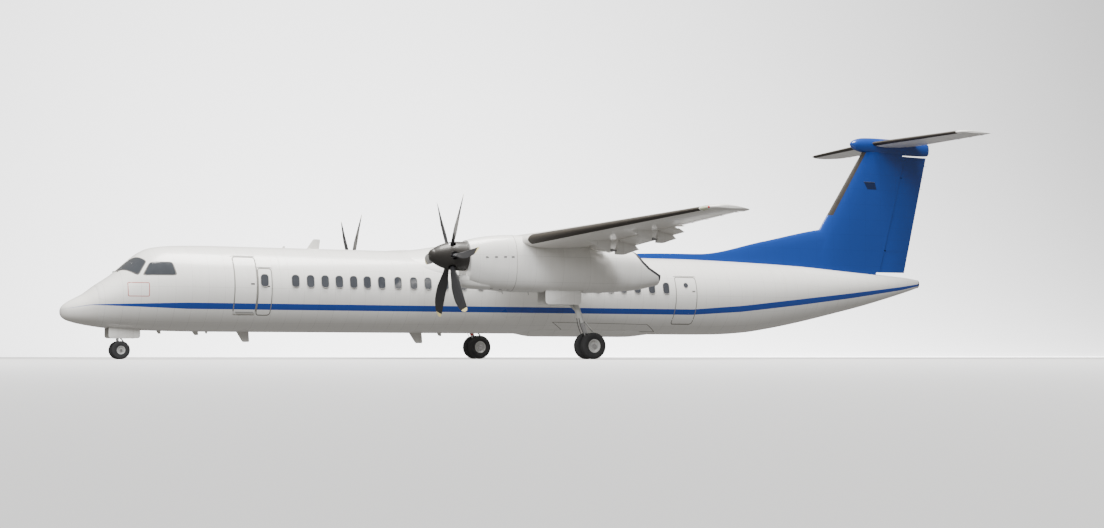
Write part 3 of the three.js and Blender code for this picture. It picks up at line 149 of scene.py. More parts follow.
# Fuselage: five riveted aluminium barrels of round section, joined end to end, with a moulded
# glass-fibre radome at the nose. The skin is sprayed off-white with one blue stripe low on each side.
FRAME_LENGTH = 32840
CENTRELINE = 2200
BARREL_RADIUS = 1345
NOSE_TIP_LEVEL = -765
HULL_SIDES, BARREL_LIP = 96, 4
HULL = (  # station, crown level, keel level, half width, level of the widest point
    (0, -765, -765, 0, -765),
    (50, -610, -915, 165, -770),
    (150, -515, -1000, 300, -760),
    (350, -390, -1075, 455, -735),
    (650, -230, -1145, 625, -680),
    (1000, 30, -1205, 790, -560),
    (1500, 370, -1265, 980, -390),
    (2000, 800, -1295, 1110, -250),
    (2300, 1050, -1308, 1175, -200),
    (2650, 1215, -1318, 1235, -150),
    (3200, 1300, -1330, 1300, -80),
    (4000, 1335, -1342, 1338, -20),
    (4700, 1345, -1345, 1345, 0),
    (6500, 1345, -1345, 1345, 0),
    (20500, 1345, -1345, 1345, 0),
    (21700, 1345, -1345, 1345, 0),
    (23000, 1325, -1335, 1300, 15),
    (24200, 1295, -1270, 1215, 50),
    (25500, 1255, -1090, 1090, 110),
    (26800, 1205, -850, 930, 190),
    (28200, 1120, -550, 740, 290),
    (29600, 1025, -235, 530, 400),
    (30900, 935, 100, 335, 510),
    (31900, 850, 380, 185, 610),
    (32250, 800, 490, 120, 650),
)


def place(station, y, level):
    """A point from a station aft of the nose tip and a level above the fuselage centreline, in mm."""
    return Vector((FRAME_LENGTH / 2 - station, y, CENTRELINE + level)) / 1000


def smooth_table(table, measure=lambda value: value):
    """A function that reads a table on a smooth curve through its rows, without overshoot."""
    at = [measure(row[0]) for row in table]
    gaps = [b - a for a, b in zip(at, at[1:])]
    columns = []
    for values in list(zip(*table))[1:]:
        rates = [(b - a) / gap for a, b, gap in zip(values, values[1:], gaps)]
        slopes = [rates[0]]
        for k in range(1, len(rates)):
            before, after = rates[k - 1], rates[k]
            if before * after <= 0:
                slopes.append(0.0)
            else:
                w1 = 2 * gaps[k] + gaps[k - 1]
                w2 = gaps[k] + 2 * gaps[k - 1]
                slopes.append((w1 + w2) / (w1 / before + w2 / after))
        slopes.append(rates[-1])
        columns.append((values, slopes))

    def read(value):
        x = min(max(measure(value), at[0]), at[-1])
        k = max(i for i in range(len(gaps)) if at[i] <= x or i == 0)
        t = (x - at[k]) / gaps[k]
        row = [value]
        for values, slopes in columns:
            row.append(
                values[k] * (1 + 2 * t) * (1 - t) ** 2 + slopes[k] * gaps[k] * t * (1 - t) ** 2
                + values[k + 1] * t * t * (3 - 2 * t) + slopes[k + 1] * gaps[k] * t * t * (t - 1))
        return row
    return read


ROUND_NOSE_END = 4700


def nose_measure(station):
    """Square root of the station in the nose, so that the tip comes out round, then even steps."""
    root = math.sqrt(ROUND_NOSE_END)
    if station < ROUND_NOSE_END:
        return math.sqrt(max(station, 0))
    return root + (station - ROUND_NOSE_END) / (2 * root)


hull_row = smooth_table(HULL, nose_measure)


def mix(a, b, t):
    return a + (b - a) * t


def hull_point(station, angle, out=0):
    """A point of the smooth hull; out is a distance off the skin, in mm."""
    _, crown, keel, half, widest = hull_row(station)
    rise = crown - widest if math.sin(angle) > 0 else widest - keel
    return place(station, (half + out) * math.cos(angle), widest + (rise + out) * math.sin(angle))


def hull_angle(station, level, side):
    """The angle round the hull at a level, on one side."""
    _, crown, keel, _, widest = hull_row(station)
    rise = crown - widest if level > widest else widest - keel
    angle = math.asin(max(-1, min(1, (level - widest) / rise)))
    return angle if side > 0 else math.pi - angle


def tidy(made, flip=True):
    """Merges doubles and turns the faces outwards."""
    merge = 1e-5
    work = bmesh.new()
    work.from_mesh(made.data)
    bmesh.ops.remove_doubles(work, verts=work.verts, dist=merge)
    bmesh.ops.dissolve_degenerate(work, edges=work.edges, dist=merge / 10)
    if flip:
        bmesh.ops.recalc_face_normals(work, faces=work.faces)
    work.to_mesh(made.data)
    work.free()
    return made


def loft(name, rings, closed=False):
    """A skin through rings of equal length, with flat ends unless it closes on itself; one point is a tip."""
    points, starts, faces = [], [], []
    if closed:
        rings = [*rings, rings[0]]
    for ring in rings:
        starts.append(len(points))
        points.extend(ring)
    for a, b, near, far in zip(starts, starts[1:], rings, rings[1:]):
        count = max(len(near), len(far))
        for k in range(count):
            n = (k + 1) % count
            corners = (a + k % len(near), a + n % len(near), b + n % len(far), b + k % len(far))
            faces.append(tuple(dict.fromkeys(corners)))
    if not closed:
        faces += [range(start, start + len(ring)) for start, ring in ((0, rings[0]), (starts[-1], rings[-1]))
                  if len(ring) > 1]
    return tidy(mesh_object(name, points, faces))


def applied(made):
    """The object's evaluated mesh, with its modifiers gone."""
    evaluated = made.evaluated_get(bpy.context.evaluated_depsgraph_get())
    mesh = bpy.data.meshes.new_from_object(evaluated)
    old = made.data
    made.modifiers.clear()
    made.data = mesh
    bpy.data.meshes.remove(old)
    return made


def cut(made, *cutters, operation="DIFFERENCE"):
    """Takes the cutters out of an object, or joins them to it, and deletes them."""
    for cutter in cutters:
        modifier = made.modifiers.new("cut", "BOOLEAN")
        modifier.operation, modifier.solver, modifier.object = operation, "EXACT", cutter
        applied(made)
        bpy.data.objects.remove(cutter)
    return tidy(made, flip=False)


def dress(made, finish, body="airframe", replaced=(), sharp=32):
    """Shades a finished mesh, gives it its finish and lets it ride on its body."""
    made.data.materials.clear()
    made.data.materials.append(finish)
    made.data.shade_smooth()
    made.data.set_sharp_from_angle(angle=math.radians(sharp))
    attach(made, body)
    if replaced:
        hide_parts(*replaced)


def calc(tree, operation, *values):
    return node(tree, "ShaderNodeMath", dict(enumerate(values)), operation=operation).outputs[0]


def node_group(name, inputs, outputs):
    """An empty group for materials, with inputs that have a value of their own, and outputs."""
    tree = bpy.data.node_groups.new(name, "ShaderNodeTree")
    for key, value in inputs.items():
        tree.interface.new_socket(key, in_out="INPUT", socket_type="NodeSocketFloat").default_value = value
    for key in outputs:
        tree.interface.new_socket(key, in_out="OUTPUT", socket_type="NodeSocketFloat")
    return tree


def seam_group():
    """Lines of panel joints with their rivets, from two distances measured over the surface."""
    tree = node_group("panel_joints", {
        "Along": 0, "Across": 0, "Along Spacing": 0.5, "Across Spacing": 0.6, "Line Width": 0.005,
        "Rivet Pitch": 0.035}, ("Joint", "Rivet"))
    given = node(tree, "NodeGroupInput").outputs

    def to_line(distance, spacing):
        turns = calc(tree, "DIVIDE", distance, spacing)
        off = calc(tree, "ABSOLUTE", calc(tree, "SUBTRACT", calc(tree, "FRACT", turns), 0.5))
        return calc(tree, "MULTIPLY", calc(tree, "SUBTRACT", 0.5, off), spacing)

    def dots(distance_off, distance_on):
        beside = calc(tree, "ABSOLUTE", calc(tree, "SUBTRACT", distance_off, RIVET_OFFSET))
        on = to_line(distance_on, given["Rivet Pitch"])
        squares = calc(tree, "ADD", calc(tree, "MULTIPLY", beside, beside), calc(tree, "MULTIPLY", on, on))
        return calc(tree, "LESS_THAN", calc(tree, "SQRT", squares), RIVET_RADIUS)

    near_along = to_line(given["Along"], given["Along Spacing"])
    near_across = to_line(given["Across"], given["Across Spacing"])
    half = calc(tree, "MULTIPLY", given["Line Width"], 0.5)
    joint = calc(tree, "LESS_THAN", calc(tree, "MINIMUM", near_along, near_across), half)
    rivets = calc(tree, "MAXIMUM", dots(near_along, given["Across"]), dots(near_across, given["Along"]))
    node(tree, "NodeGroupOutput", {"Joint": joint, "Rivet": rivets})
    return tree


def grime_group():
    """Soft stains and streaks that run down, and a slight unevenness of gloss."""
    tree = node_group("paint_wear", {"Scale": 1.0, "Amount": 0.1, "Gloss": 0.3}, ("Stain", "Roughness"))
    given = node(tree, "NodeGroupInput").outputs
    where = node(tree, "ShaderNodeTexCoord").outputs["Object"]
    stretched = node(tree, "ShaderNodeMapping", {"Vector": where, "Scale": (5.0, 2.0, 0.55)}).outputs["Vector"]
    streaks = node(tree, "ShaderNodeTexNoise", {
        "Vector": stretched, "Scale": given["Scale"], "Detail": 5.0, "Roughness": 0.6}).outputs["Fac"]
    clouds = node(tree, "ShaderNodeTexNoise", {"Vector": where, "Scale": 0.6, "Detail": 3.0}).outputs["Fac"]
    both = calc(tree, "MULTIPLY", streaks, clouds)
    spread = node(tree, "ShaderNodeMapRange", {"Value": both, 1: 0.14, 2: 0.50},
                  interpolation_type="SMOOTHSTEP")
    stain = calc(tree, "MULTIPLY", spread.outputs[0], given["Amount"])
    rough = calc(tree, "MULTIPLY_ADD", clouds, 0.18, given["Gloss"])
    node(tree, "NodeGroupOutput", {"Stain": stain, "Roughness": rough})
    return tree


RIVET_RADIUS, RIVET_OFFSET = 0.004, 0.016
PANEL_JOINTS = seam_group()
PAINT_WEAR = grime_group()
OFF_WHITE = (0.80, 0.79, 0.765, 1)
STRIPE_BLUE = (0.009, 0.050, 0.300, 1)
STAIN_TONE = (0.52, 0.48, 0.42, 1)
JOINT_TONE = (0.45, 0.44, 0.43, 1)
STRIPE_LOW = ((0, -700), (800, -568), (3600, -665), (21500, -665), (23600, -535), (26200, -260),
              (28800, 45), (31300, 388), (32300, 580))
STRIPE_HIGH = ((0, -700), (800, -552), (3600, -475), (21500, -475), (23600, -320), (26200, -45),
               (28800, 230), (31300, 512), (32300, 650))
STRIPE_REACH = (-800, 800)


def stripe_edge(tree, share, rows):
    """Level of an edge of the stripe, in metres, at a share of the length; straight between its rows."""
    made = node(tree, "ShaderNodeFloatCurve", {"Factor": 1.0, "Value": share})
    line = made.mapping.curves[0]
    low, high = STRIPE_REACH
    spots = [(station / FRAME_LENGTH, (level - low) / (high - low)) for station, level in rows]
    line.points[0].location = spots[0]
    line.points[1].location = spots[-1]
    for spot in spots[1:-1]:
        line.points.new(*spot)
    for point in line.points:
        point.handle_type = "VECTOR"
    made.mapping.update()
    reach = {"Value": made.outputs[0], 3: (CENTRELINE + low) / 1000, 4: (CENTRELINE + high) / 1000}
    return node(tree, "ShaderNodeMapRange", reach, clamp=False).outputs[0]


def painted_skin(name, base, along_spacing, across_spacing, across="round", striped=False, gloss=0.22,
                 stain=0.10, joint_depth=0.25):
    """Sprayed sheet metal with panel joints and rivets; the joints across run round, or along Y or Z."""
    material = blank_material(name)
    tree = material.node_tree
    where = node(tree, "ShaderNodeTexCoord").outputs["Object"]
    x, y, z = node(tree, "ShaderNodeSeparateXYZ", {"Vector": where}).outputs
    over = {"y": y, "z": z}.get(across)
    if across == "round":
        turn = calc(tree, "ARCTAN2", calc(tree, "SUBTRACT", z, CENTRELINE / 1000), y)
        over = calc(tree, "MULTIPLY", turn, BARREL_RADIUS / 1000)
    joints = node(tree, "ShaderNodeGroup", {
        "Along": x, "Across": over, "Along Spacing": along_spacing, "Across Spacing": across_spacing,
    }, node_tree=PANEL_JOINTS).outputs
    wear = node(tree, "ShaderNodeGroup", {
        "Scale": 1.4, "Amount": stain, "Gloss": gloss}, node_tree=PAINT_WEAR).outputs
    color = base
    if striped:
        nose = FRAME_LENGTH / 2000
        share = node(tree, "ShaderNodeMapRange", {"Value": x, 1: nose, 2: -nose}).outputs[0]
        above = calc(tree, "GREATER_THAN", z, stripe_edge(tree, share, STRIPE_LOW))
        below = calc(tree, "LESS_THAN", z, stripe_edge(tree, share, STRIPE_HIGH))
        color = blend(tree, calc(tree, "MULTIPLY", above, below), base, STRIPE_BLUE)
    stained = blend(tree, wear["Stain"], color, STAIN_TONE, "MULTIPLY")
    lined = blend(tree, calc(tree, "MULTIPLY", joints["Joint"], 0.7), stained, JOINT_TONE, "MULTIPLY")
    depth = calc(tree, "SUBTRACT", joints["Rivet"], joints["Joint"])
    bump = node(tree, "ShaderNodeBump", {"Height": depth, "Strength": joint_depth, "Distance": 0.002})
    surface(tree, lined, wear["Roughness"], bump.outputs["Normal"], Coat_Weight=0.35, Coat_Roughness=0.12)
    return material


FUSELAGE_PAINT = painted_skin("fuselage_paint", OFF_WHITE, 0.508, 0.62, striped=True)
RADOME_PAINT = painted_skin("radome_enamel", (0.79, 0.775, 0.74, 1), 40.0, 40.0, striped=True, gloss=0.26)


def stations_between(front, rear, step):
    """Stations for rings, with the table's own rows, finer near the nose tip."""
    inside = [row[0] for row in HULL if front < row[0] < rear]
    marks = [front, *inside, rear]
    found = []
    for a, b in zip(marks, marks[1:]):
        count = max(1, round((b - a) / (step if b > 1000 else 60 if b > 160 else 16)))
        found.extend(a + (b - a) * k / count for k in range(count))
    return [*found, rear]


def barrel(name, front, rear, step=240):
    """One closed barrel of the hull; each open end has a small chamfer that shows as the joint."""
    def ring(station, out=0):
        return [hull_point(station, math.tau * k / HULL_SIDES, out) for k in range(HULL_SIDES)]

    first, *inside, last = stations_between(front, rear, step)
    start = [ring(first, -BARREL_LIP), ring(first + BARREL_LIP)] if first else [[place(0, 0, NOSE_TIP_LEVEL)]]
    end = [ring(last - BARREL_LIP), ring(last - 0.3, -BARREL_LIP)]
    return loft(name, [*start, *(ring(station) for station in inside), *end])


def skin_slab(name, front, rear, bottom, top, inner, outer, side, edge=0):
    """A piece of the cylindrical skin with rounded corners, between two stations and two levels."""
    low = math.asin(bottom / BARREL_RADIUS) - edge / BARREL_RADIUS
    high = math.asin(top / BARREL_RADIUS) + edge / BARREL_RADIUS
    reach = (high - low) * BARREL_RADIUS
    corner = DOOR_CORNER + edge
    arc = [(corner * (1 - math.cos(turn)), corner * (1 - math.sin(turn)))
           for turn in (math.pi / 14 * k for k in range(8))]
    plain = max(2, int((reach - 2 * corner) / 60))
    rows = [*arc, *((corner + (reach - 2 * corner) * k / plain, 0) for k in range(1, plain)),
            *((reach - climb, inset) for climb, inset in reversed(arc))]
    rings = []
    for climb, inset in rows:
        angle = low + climb / BARREL_RADIUS
        ahead, behind = front - edge + inset, rear + edge - inset
        edges = ((ahead, outer), (behind, outer), (behind, inner), (ahead, inner))
        rings.append([place(station, side * radius * math.cos(angle), radius * math.sin(angle))
                      for station, radius in edges])
    return loft(name, rings)


def box_object(name, low, high):
    x0, y0, z0 = (min(a, b) for a, b in zip(low, high))
    x1, y1, z1 = (max(a, b) for a, b in zip(low, high))
    ring = [(x0, y0), (x1, y0), (x1, y1), (x0, y1)]
    return loft(name, [[Vector((x, y, z)) for x, y in ring] for z in (z0, z1)])


def circle(count, first=0.0):
    """Cosine and sine of even steps round a turn, from a number of steps past its start."""
    turns = [math.tau * (k + first) / count for k in range(count)]
    return [(math.cos(turn), math.sin(turn)) for turn in turns]


def rod(name, start, end, radius, sides=24, end_radius=None):
    """A round bar between two points, closed at its ends."""
    start, end = Vector(start), Vector(end)
    way = (end - start).normalized()
    first = way.orthogonal().normalized()
    second = way.cross(first)
    ends = ((start, radius), (end, radius if end_radius is None else end_radius))
    return loft(name, [[middle + reach * (first * c + second * s) for c, s in circle(sides)]
                       for middle, reach in ends])


OUTSIDE = BARREL_RADIUS + 60
DOOR_CORNER = 70
AIRSTAIR = {"front": 5050, "rear": 5720, "bottom": -810, "top": 950, "thickness": 70}
SEAT_GAP = 8
HINGE_RADIUS = BARREL_RADIUS - 18
HINGE_ANGLE = math.asin(AIRSTAIR["bottom"] / BARREL_RADIUS)
HINGE_Y = HINGE_RADIUS * math.cos(HINGE_ANGLE)
HINGE_LEVEL = HINGE_RADIUS * math.sin(HINGE_ANGLE)
PLUG_DEPTH = 50
PLUG_EDGE = 5
PLUG_DOORS = {
    "forward_exit_left": (5790, 6200, -810, 600, 1),
    "forward_exit_right": (5300, 6050, -810, 850, -1),
    "rear_door_left": (20790, 21590, -970, 620, 1),
    "rear_door_right": (20790, 21590, -970, 620, -1),
}
NOSE_BAY = {"front": 1400, "rear": 2400, "roof": -700, "half": 300}


def hinge_tube(name, reach, radius):
    """A round bar on the airstair's hinge line, past both ends of the door by the reach given."""
    return rod(name, place(AIRSTAIR["front"] - reach, HINGE_Y, HINGE_LEVEL),
               place(AIRSTAIR["rear"] + reach, HINGE_Y, HINGE_LEVEL), radius)


def plug_recess(name):
    front, rear, bottom, top, side = PLUG_DOORS[name]
    return skin_slab("recess", front, rear, bottom, top, BARREL_RADIUS - PLUG_DEPTH, OUTSIDE, side, PLUG_EDGE)


def build_fuselage():
    dress(barrel("radome_shell", 0, 1000, step=60), RADOME_PAINT, replaced=["radome"])

    forward = barrel("forward_barrel", 1000, 6500, step=110)
    front, rear, bottom, top, thickness = AIRSTAIR.values()
    cut(
        forward,
        skin_slab("opening", front, rear, bottom, top, BARREL_RADIUS - thickness - SEAT_GAP, OUTSIDE, 1,
                  SEAT_GAP),
        box_object("vestibule", place(front + 45, 100, bottom + 60), place(rear - 45, BARREL_RADIUS, top - 60)),
        hinge_tube("groove", SEAT_GAP, 0.046),
        plug_recess("forward_exit_left"),
        plug_recess("forward_exit_right"),
        box_object("bay", place(NOSE_BAY["front"], -NOSE_BAY["half"], -1500),
                   place(NOSE_BAY["rear"], NOSE_BAY["half"], NOSE_BAY["roof"])),
    )
    dress(forward, FUSELAGE_PAINT, replaced=["fuselage_forward"])
    dress(barrel("centre_barrel", 6500, 20500, step=500), FUSELAGE_PAINT, replaced=["fuselage_centre"])
    aft = barrel("aft_barrel", 20500, 26800)
    cut(aft, plug_recess("rear_door_left"), plug_recess("rear_door_right"))
    dress(aft, FUSELAGE_PAINT, replaced=["fuselage_aft"])
    dress(barrel("tail_cone_shell", 26800, 32250), FUSELAGE_PAINT, replaced=["tail_cone"])


build_fuselage()


# Cabin doors: sheet-metal plugs pressed to the curve of the skin, with rounded corners. The front port
# door is hinged along its sill and carries treads; each door has a lock handle, and a gutter above it.
def mottled(name, tone, other, rough, scale, detail, stretch=(1.0, 1.0, 1.0), bump=0.0, **constants):
    """A finish that drifts between two tones and two roughnesses along one noise."""
    material = blank_material(name)
    tree = material.node_tree
    where = node(tree, "ShaderNodeTexCoord").outputs["Object"]
    stretched = node(tree, "ShaderNodeMapping", {"Vector": where, "Scale": stretch}).outputs["Vector"]
    noise = node(tree, "ShaderNodeTexNoise", {
        "Vector": stretched, "Scale": scale, "Detail": detail}).outputs["Fac"]
    roughness = node(tree, "ShaderNodeMapRange", {"Value": noise, 3: rough[0], 4: rough[1]}).outputs[0]
    normal = None
    if bump:
        normal = node(tree, "ShaderNodeBump", {
            "Height": noise, "Strength": bump, "Distance": 0.002}).outputs["Normal"]
    surface(tree, blend(tree, noise, tone, (*other, 1)), roughness, normal, **constants)
    return material


def rubber_material(name, tone, roughness=0.75):
    lighter = [part * 1.7 + 0.004 for part in tone[:3]]
    return mottled(name, tone, lighter, (roughness - 0.12, roughness + 0.12), 9.0, 6.0,
                   bump=0.15, Specular_IOR_Level=0.2)


def metal_material(name, tone, roughness, metallic=1.0):
    """Bare or plated metal with fine drawn lines and a slight cloud."""
    darker = [part * 0.72 for part in tone[:3]]
    rough = (max(0.04, roughness - 0.1), roughness + 0.1)
    return mottled(name, tone, darker, rough, 60.0, 4.0, (1.0, 6.0, 6.0), Metallic=metallic)


def painted_metal(name, tone, roughness, metallic=0.0):
    """Plain sprayed enamel with worn tone and gloss, for small parts."""
    material = blank_material(name)
    tree = material.node_tree
    wear = node(tree, "ShaderNodeGroup", {
        "Scale": 4.0, "Amount": 0.22, "Gloss": roughness - 0.09}, node_tree=PAINT_WEAR).outputs
    color = blend(tree, wear["Stain"], tone, (*(part * 0.6 for part in tone[:3]), 1))
    surface(tree, color, wear["Roughness"], Metallic=metallic, Coat_Weight=0.2)
    return material


DOOR_PAINT = painted_skin("door_paint", OFF_WHITE, 40.0, 40.0, striped=True, gloss=0.2)
SEAL_RUBBER = rubber_material("door_seal", (0.16, 0.155, 0.145, 1))
BRIGHT_METAL = metal_material("bright_metal", (0.72, 0.72, 0.73, 1), 0.25)
LINING = painted_metal("cabin_lining", (0.62, 0.60, 0.55, 1), 0.5)
FLOOR_MAT = rubber_material("floor_mat", (0.05, 0.055, 0.065, 1))
TREAD_TILT = math.radians(134)
RAIN_GUTTERS = (  # name, front, rear, level, side
    ("airstair_gutter", 4990, 5760, 1010, 1),
    ("forward_exit_gutter", 5750, 6240, 660, 1),
    ("rear_door_gutter_left", 20740, 21640, 690, 1),
    ("rear_door_gutter_right", 20740, 21640, 690, -1),
    ("forward_exit_gutter_right", 5250, 6100, 910, -1),
)


def merged(name, parts):
    """One object from several, which are used up."""
    work = bmesh.new()
    for part in parts:
        work.from_mesh(part.data)
        mesh = part.data
        bpy.data.objects.remove(part)
        bpy.data.meshes.remove(mesh)
    mesh = bpy.data.meshes.new(name)
    work.to_mesh(mesh)
    work.free()
    return link(bpy.data.objects.new(name, mesh))


def bevelled(made, width, angle=40):
    modifier = made.modifiers.new("edge", "BEVEL")
    modifier.width, modifier.segments, modifier.limit_method = width, 2, "ANGLE"
    modifier.angle_limit = math.radians(angle)
    return applied(made)


def skin_point(station, level, side, out):
    """The point of the hull's skin at a level on one side, or out millimetres off it."""
    return hull_point(station, hull_angle(station, level, side), out)


def strip_on_hull(name, spots, width, thickness, side):
    """A flat strip that follows (station, level) spots over the hull, standing off by its thickness."""
    rings = []
    for k, (station, level) in enumerate(spots):
        before, after = spots[max(0, k - 1)], spots[min(len(spots) - 1, k + 1)]
        way = Vector((after[0] - before[0], after[1] - before[1])).normalized() * width / 2
        rings.append([skin_point(station - across * way.y, level + across * way.x, side, out)
                      for across, out in ((1, thickness), (-1, thickness), (-1, -6), (1, -6))])
    return loft(name, rings)


def build_airstair():
    front, rear, bottom, top, thickness = AIRSTAIR.values()
    parts = [skin_slab("panel", front, rear, bottom, top, BARREL_RADIUS - thickness, BARREL_RADIUS, 1)]
    inward = Vector((math.cos(TREAD_TILT), math.sin(TREAD_TILT)))
    across = Vector((-inward.y, inward.x))
    for share in (0.13, 0.31, 0.49, 0.67, 0.85):
        seat = Vector((mix(HINGE_Y, 900, share) - 90, mix(HINGE_LEVEL, top, share)))
        half = seat.dot(inward)
        outer = half + math.sqrt(half * half - seat.dot(seat) + (BARREL_RADIUS - thickness / 2) ** 2)
        outline = [seat + inward * reach + across * lift
                   for reach, lift in ((40, -14), (40, 14), (-outer, 14), (-outer, -14))]
        parts.append(bevelled(loft("tread", [[place(station, *spot) for spot in outline]
                                             for station in (front + 75, rear - 75)]), 0.004))
    parts.append(hinge_tube("tube", 30, 0.0139))
    dress(merged("airstair_door_leaf", parts), DOOR_PAINT, "airstair", replaced=["airstair_door"])

    handle = strip_on_hull("airstair_handle", [(5540, 130), (5560, 130), (5640, 130), (5660, 130)], 46, 5, 1)
    dress(handle, BRIGHT_METAL, "airstair")
    dress(box_object("vestibule_floor", place(front + 46, 101, bottom + 61),
                     place(rear - 46, 1150, bottom + 66)), FLOOR_MAT)


def build_plug_doors():
    for name, (front, rear, bottom, top, side) in PLUG_DOORS.items():
        seat = BARREL_RADIUS - PLUG_DEPTH + 0.3 / math.cos(math.radians(4.5))
        leaf = skin_slab(name + "_leaf", front, rear, bottom, top, seat, BARREL_RADIUS, side)
        dress(leaf, DOOR_PAINT, replaced=[name])
        middle = rear - 110 if side > 0 else front + 110
        spots = [(middle + along, 150 if "rear" in name else 60) for along in (-60, 0, 60)]
        dress(strip_on_hull(name + "_handle", spots, 40, 4, side), BRIGHT_METAL)


def build_rain_gutters():
    for name, front, rear, level, side in RAIN_GUTTERS:
        spots = [(front + (rear - front) * k / 10, level - (18 if k in (0, 10) else 0)) for k in range(11)]
        dress(strip_on_hull(name, spots, 14, 16, side), DOOR_PAINT)


build_airstair()
build_plug_doors()
build_rain_gutters()


# Cabin windows: rows of stretched acrylic panes with rounded corners, each clamped in a pressed
# aluminium frame that lies flush with the skin. One round pane sits in each rear door.
def repeat_tree():
    """Puts a unit at every point of a mesh, turned by the point's own turn, with one finish."""
    tree = bpy.data.node_groups.new("repeated_units", "GeometryNodeTree")
    for name, kind in (("Points", "Geometry"), ("Unit", "Object"), ("Finish", "Material")):
        tree.interface.new_socket(name, in_out="INPUT", socket_type="NodeSocket" + kind)
    tree.interface.new_socket("Geometry", in_out="OUTPUT", socket_type="NodeSocketGeometry")
    given = node(tree, "NodeGroupInput").outputs
    unit = node(tree, "GeometryNodeObjectInfo", {"Object": given["Unit"]})
    turn = node(tree, "GeometryNodeInputNamedAttribute", {"Name": "turn"}, data_type="QUATERNION")
    spread = node(tree, "GeometryNodeInstanceOnPoints", {
        "Points": given["Points"], "Instance": unit.outputs["Geometry"], "Rotation": turn.outputs["Attribute"]})
    real = node(tree, "GeometryNodeRealizeInstances", {"Geometry": spread.outputs["Instances"]})
    finished = node(tree, "GeometryNodeSetMaterial", {
        "Geometry": real.outputs["Geometry"], "Material": given["Finish"]})
    node(tree, "NodeGroupOutput", {"Geometry": finished.outputs["Geometry"]})
    return tree


REPEATED_UNITS = repeat_tree()


def repeated(name, unit, spots, material):
    """Spots are (point, normal, up) in metres; the unit is drawn with its face along +Z and up along +Y."""
    made = mesh_object(name, [spot for spot, _, _ in spots], [])
    turn = made.data.attributes.new("turn", "QUATERNION", "POINT")
    for k, (_, normal, up) in enumerate(spots):
        face = normal.normalized()
        right = up.cross(face).normalized()
        turn.data[k].value = Matrix((right, face.cross(right), face)).transposed().to_quaternion()
    modifier = made.modifiers.new("repeat", "NODES")
    modifier.node_group = REPEATED_UNITS
    identifiers = {item.name: item.identifier for item in REPEATED_UNITS.interface.items_tree
                   if item.in_out == "INPUT"}
    modifier[identifiers["Unit"]] = unit
    modifier[identifiers["Finish"]] = material
    applied(made)
    bpy.data.objects.remove(unit)
    return made


def rounded_outline(width, height, corner):
    """The outline of a pane or frame about its own middle, with six points at each corner."""
    found = []
    for quarter, (sx, sy) in enumerate(((1, 1), (-1, 1), (-1, -1), (1, -1))):
        for turn in (math.pi / 2 * (quarter + k / 5) for k in range(6)):
            found.append((sx * (width / 2 - corner) + corner * math.cos(turn),
                          sy * (height / 2 - corner) + corner * math.sin(turn)))
    return found


def window_unit(width, height, corner, high, rim=None):
    """A pane, or its frame where rim is given, that follows the curve of the hull; sizes in metres."""
    bulge = BARREL_RADIUS / 1000

    def ring(outline, z, share=1):
        return [Vector((x * share, y * share, z - bulge + math.sqrt(bulge * bulge - (y * share) ** 2)))
                for x, y in outline]

    outer = rounded_outline(width, height, corner)
    if rim:
        inner = rounded_outline(width - 2 * rim, height - 2 * rim, corner - rim)
        rings = [ring(inner, WINDOW_FOOT), ring(outer, WINDOW_FOOT), ring(outer, high), ring(inner, high)]
        return loft("unit", rings, closed=True)
    rings = [ring(outer, WINDOW_FOOT), *(ring(outer, high, share) for share in (1, 0.8, 0.5, 0.2))]
    return loft("unit", [*rings, [Vector((0, 0, high))]])


def glass_material(name, tone, roughness=0.06):
    """Tinted pane that reads dark from outside, with faint smears."""
    lighter = [part * 1.6 + 0.01 for part in tone[:3]]
    return mottled(name, tone, lighter, (roughness, roughness + 0.08), 2.5, 4.0,
                   Coat_Weight=0.6, Coat_Roughness=0.03, IOR=1.5)


CABIN_GLASS = glass_material("cabin_pane", (0.035, 0.038, 0.045, 1))
WINDOW_FRAME = metal_material("window_frame", (0.60, 0.59, 0.57, 1), 0.35, 0.6)
WINDOW_STATIONS = (5980, 6980, 7470, 7950, 8420, 8900, 9360, 9850, 10410, 10950, 11450, 12050, 12700, 13310,
                   13980, 14710, 15380, 15950, 16550, 17160, 17670, 18180, 18680, 19230, 19800, 20370)
WINDOW_LEVEL = 240
WINDOW_SIZE = (0.238, 0.385)
WINDOW_FOOT, PANE_PROUD, FRAME_PROUD = -0.006, 0.0012, 0.0025
DOOR_WINDOW = (21180, 360)
SIDES = (("left", 1), ("right", -1))
AFT, UP, PORT = Vector((-1, 0, 0)), Vector((0, 0, 1)), Vector((0, 1, 0))


def on_skin(station, level, side, out=0):
    """A point of the hull's skin and the direction off it."""
    angle = hull_angle(station, level, side)
    along = hull_point(station + 5, angle) - hull_point(station - 5, angle)
    around = hull_point(station, angle + 0.002) - hull_point(station, angle - 0.002)
    return hull_point(station, angle, out), around.cross(along).normalized()


def build_windows():
    for side_name, side in SIDES:
        cabin = WINDOW_STATIONS if side > 0 else WINDOW_STATIONS[1:]
        for name, stations, level, size, corner, rim, grow in (
                ("cabin_window_{}s_", cabin, WINDOW_LEVEL, WINDOW_SIZE, 0.098, 0.016, 0.026),
                ("rear_door_{}_", DOOR_WINDOW[:1], DOOR_WINDOW[1], (0.17, 0.17), 0.0849, 0.014, 0.022)):
            name += side_name
            spots = [(*on_skin(station, level, side), UP) for station in stations]
            panes = repeated(name.format("pane"), window_unit(*size, corner, PANE_PROUD), spots, CABIN_GLASS)
            dress(tidy(panes), CABIN_GLASS, sharp=40)
            unit = window_unit(*(part + grow for part in size), corner + grow / 2, FRAME_PROUD, rim)
            dress(tidy(repeated(name.format("frame"), unit, spots, WINDOW_FRAME)), WINDOW_FRAME, sharp=40)


build_windows()


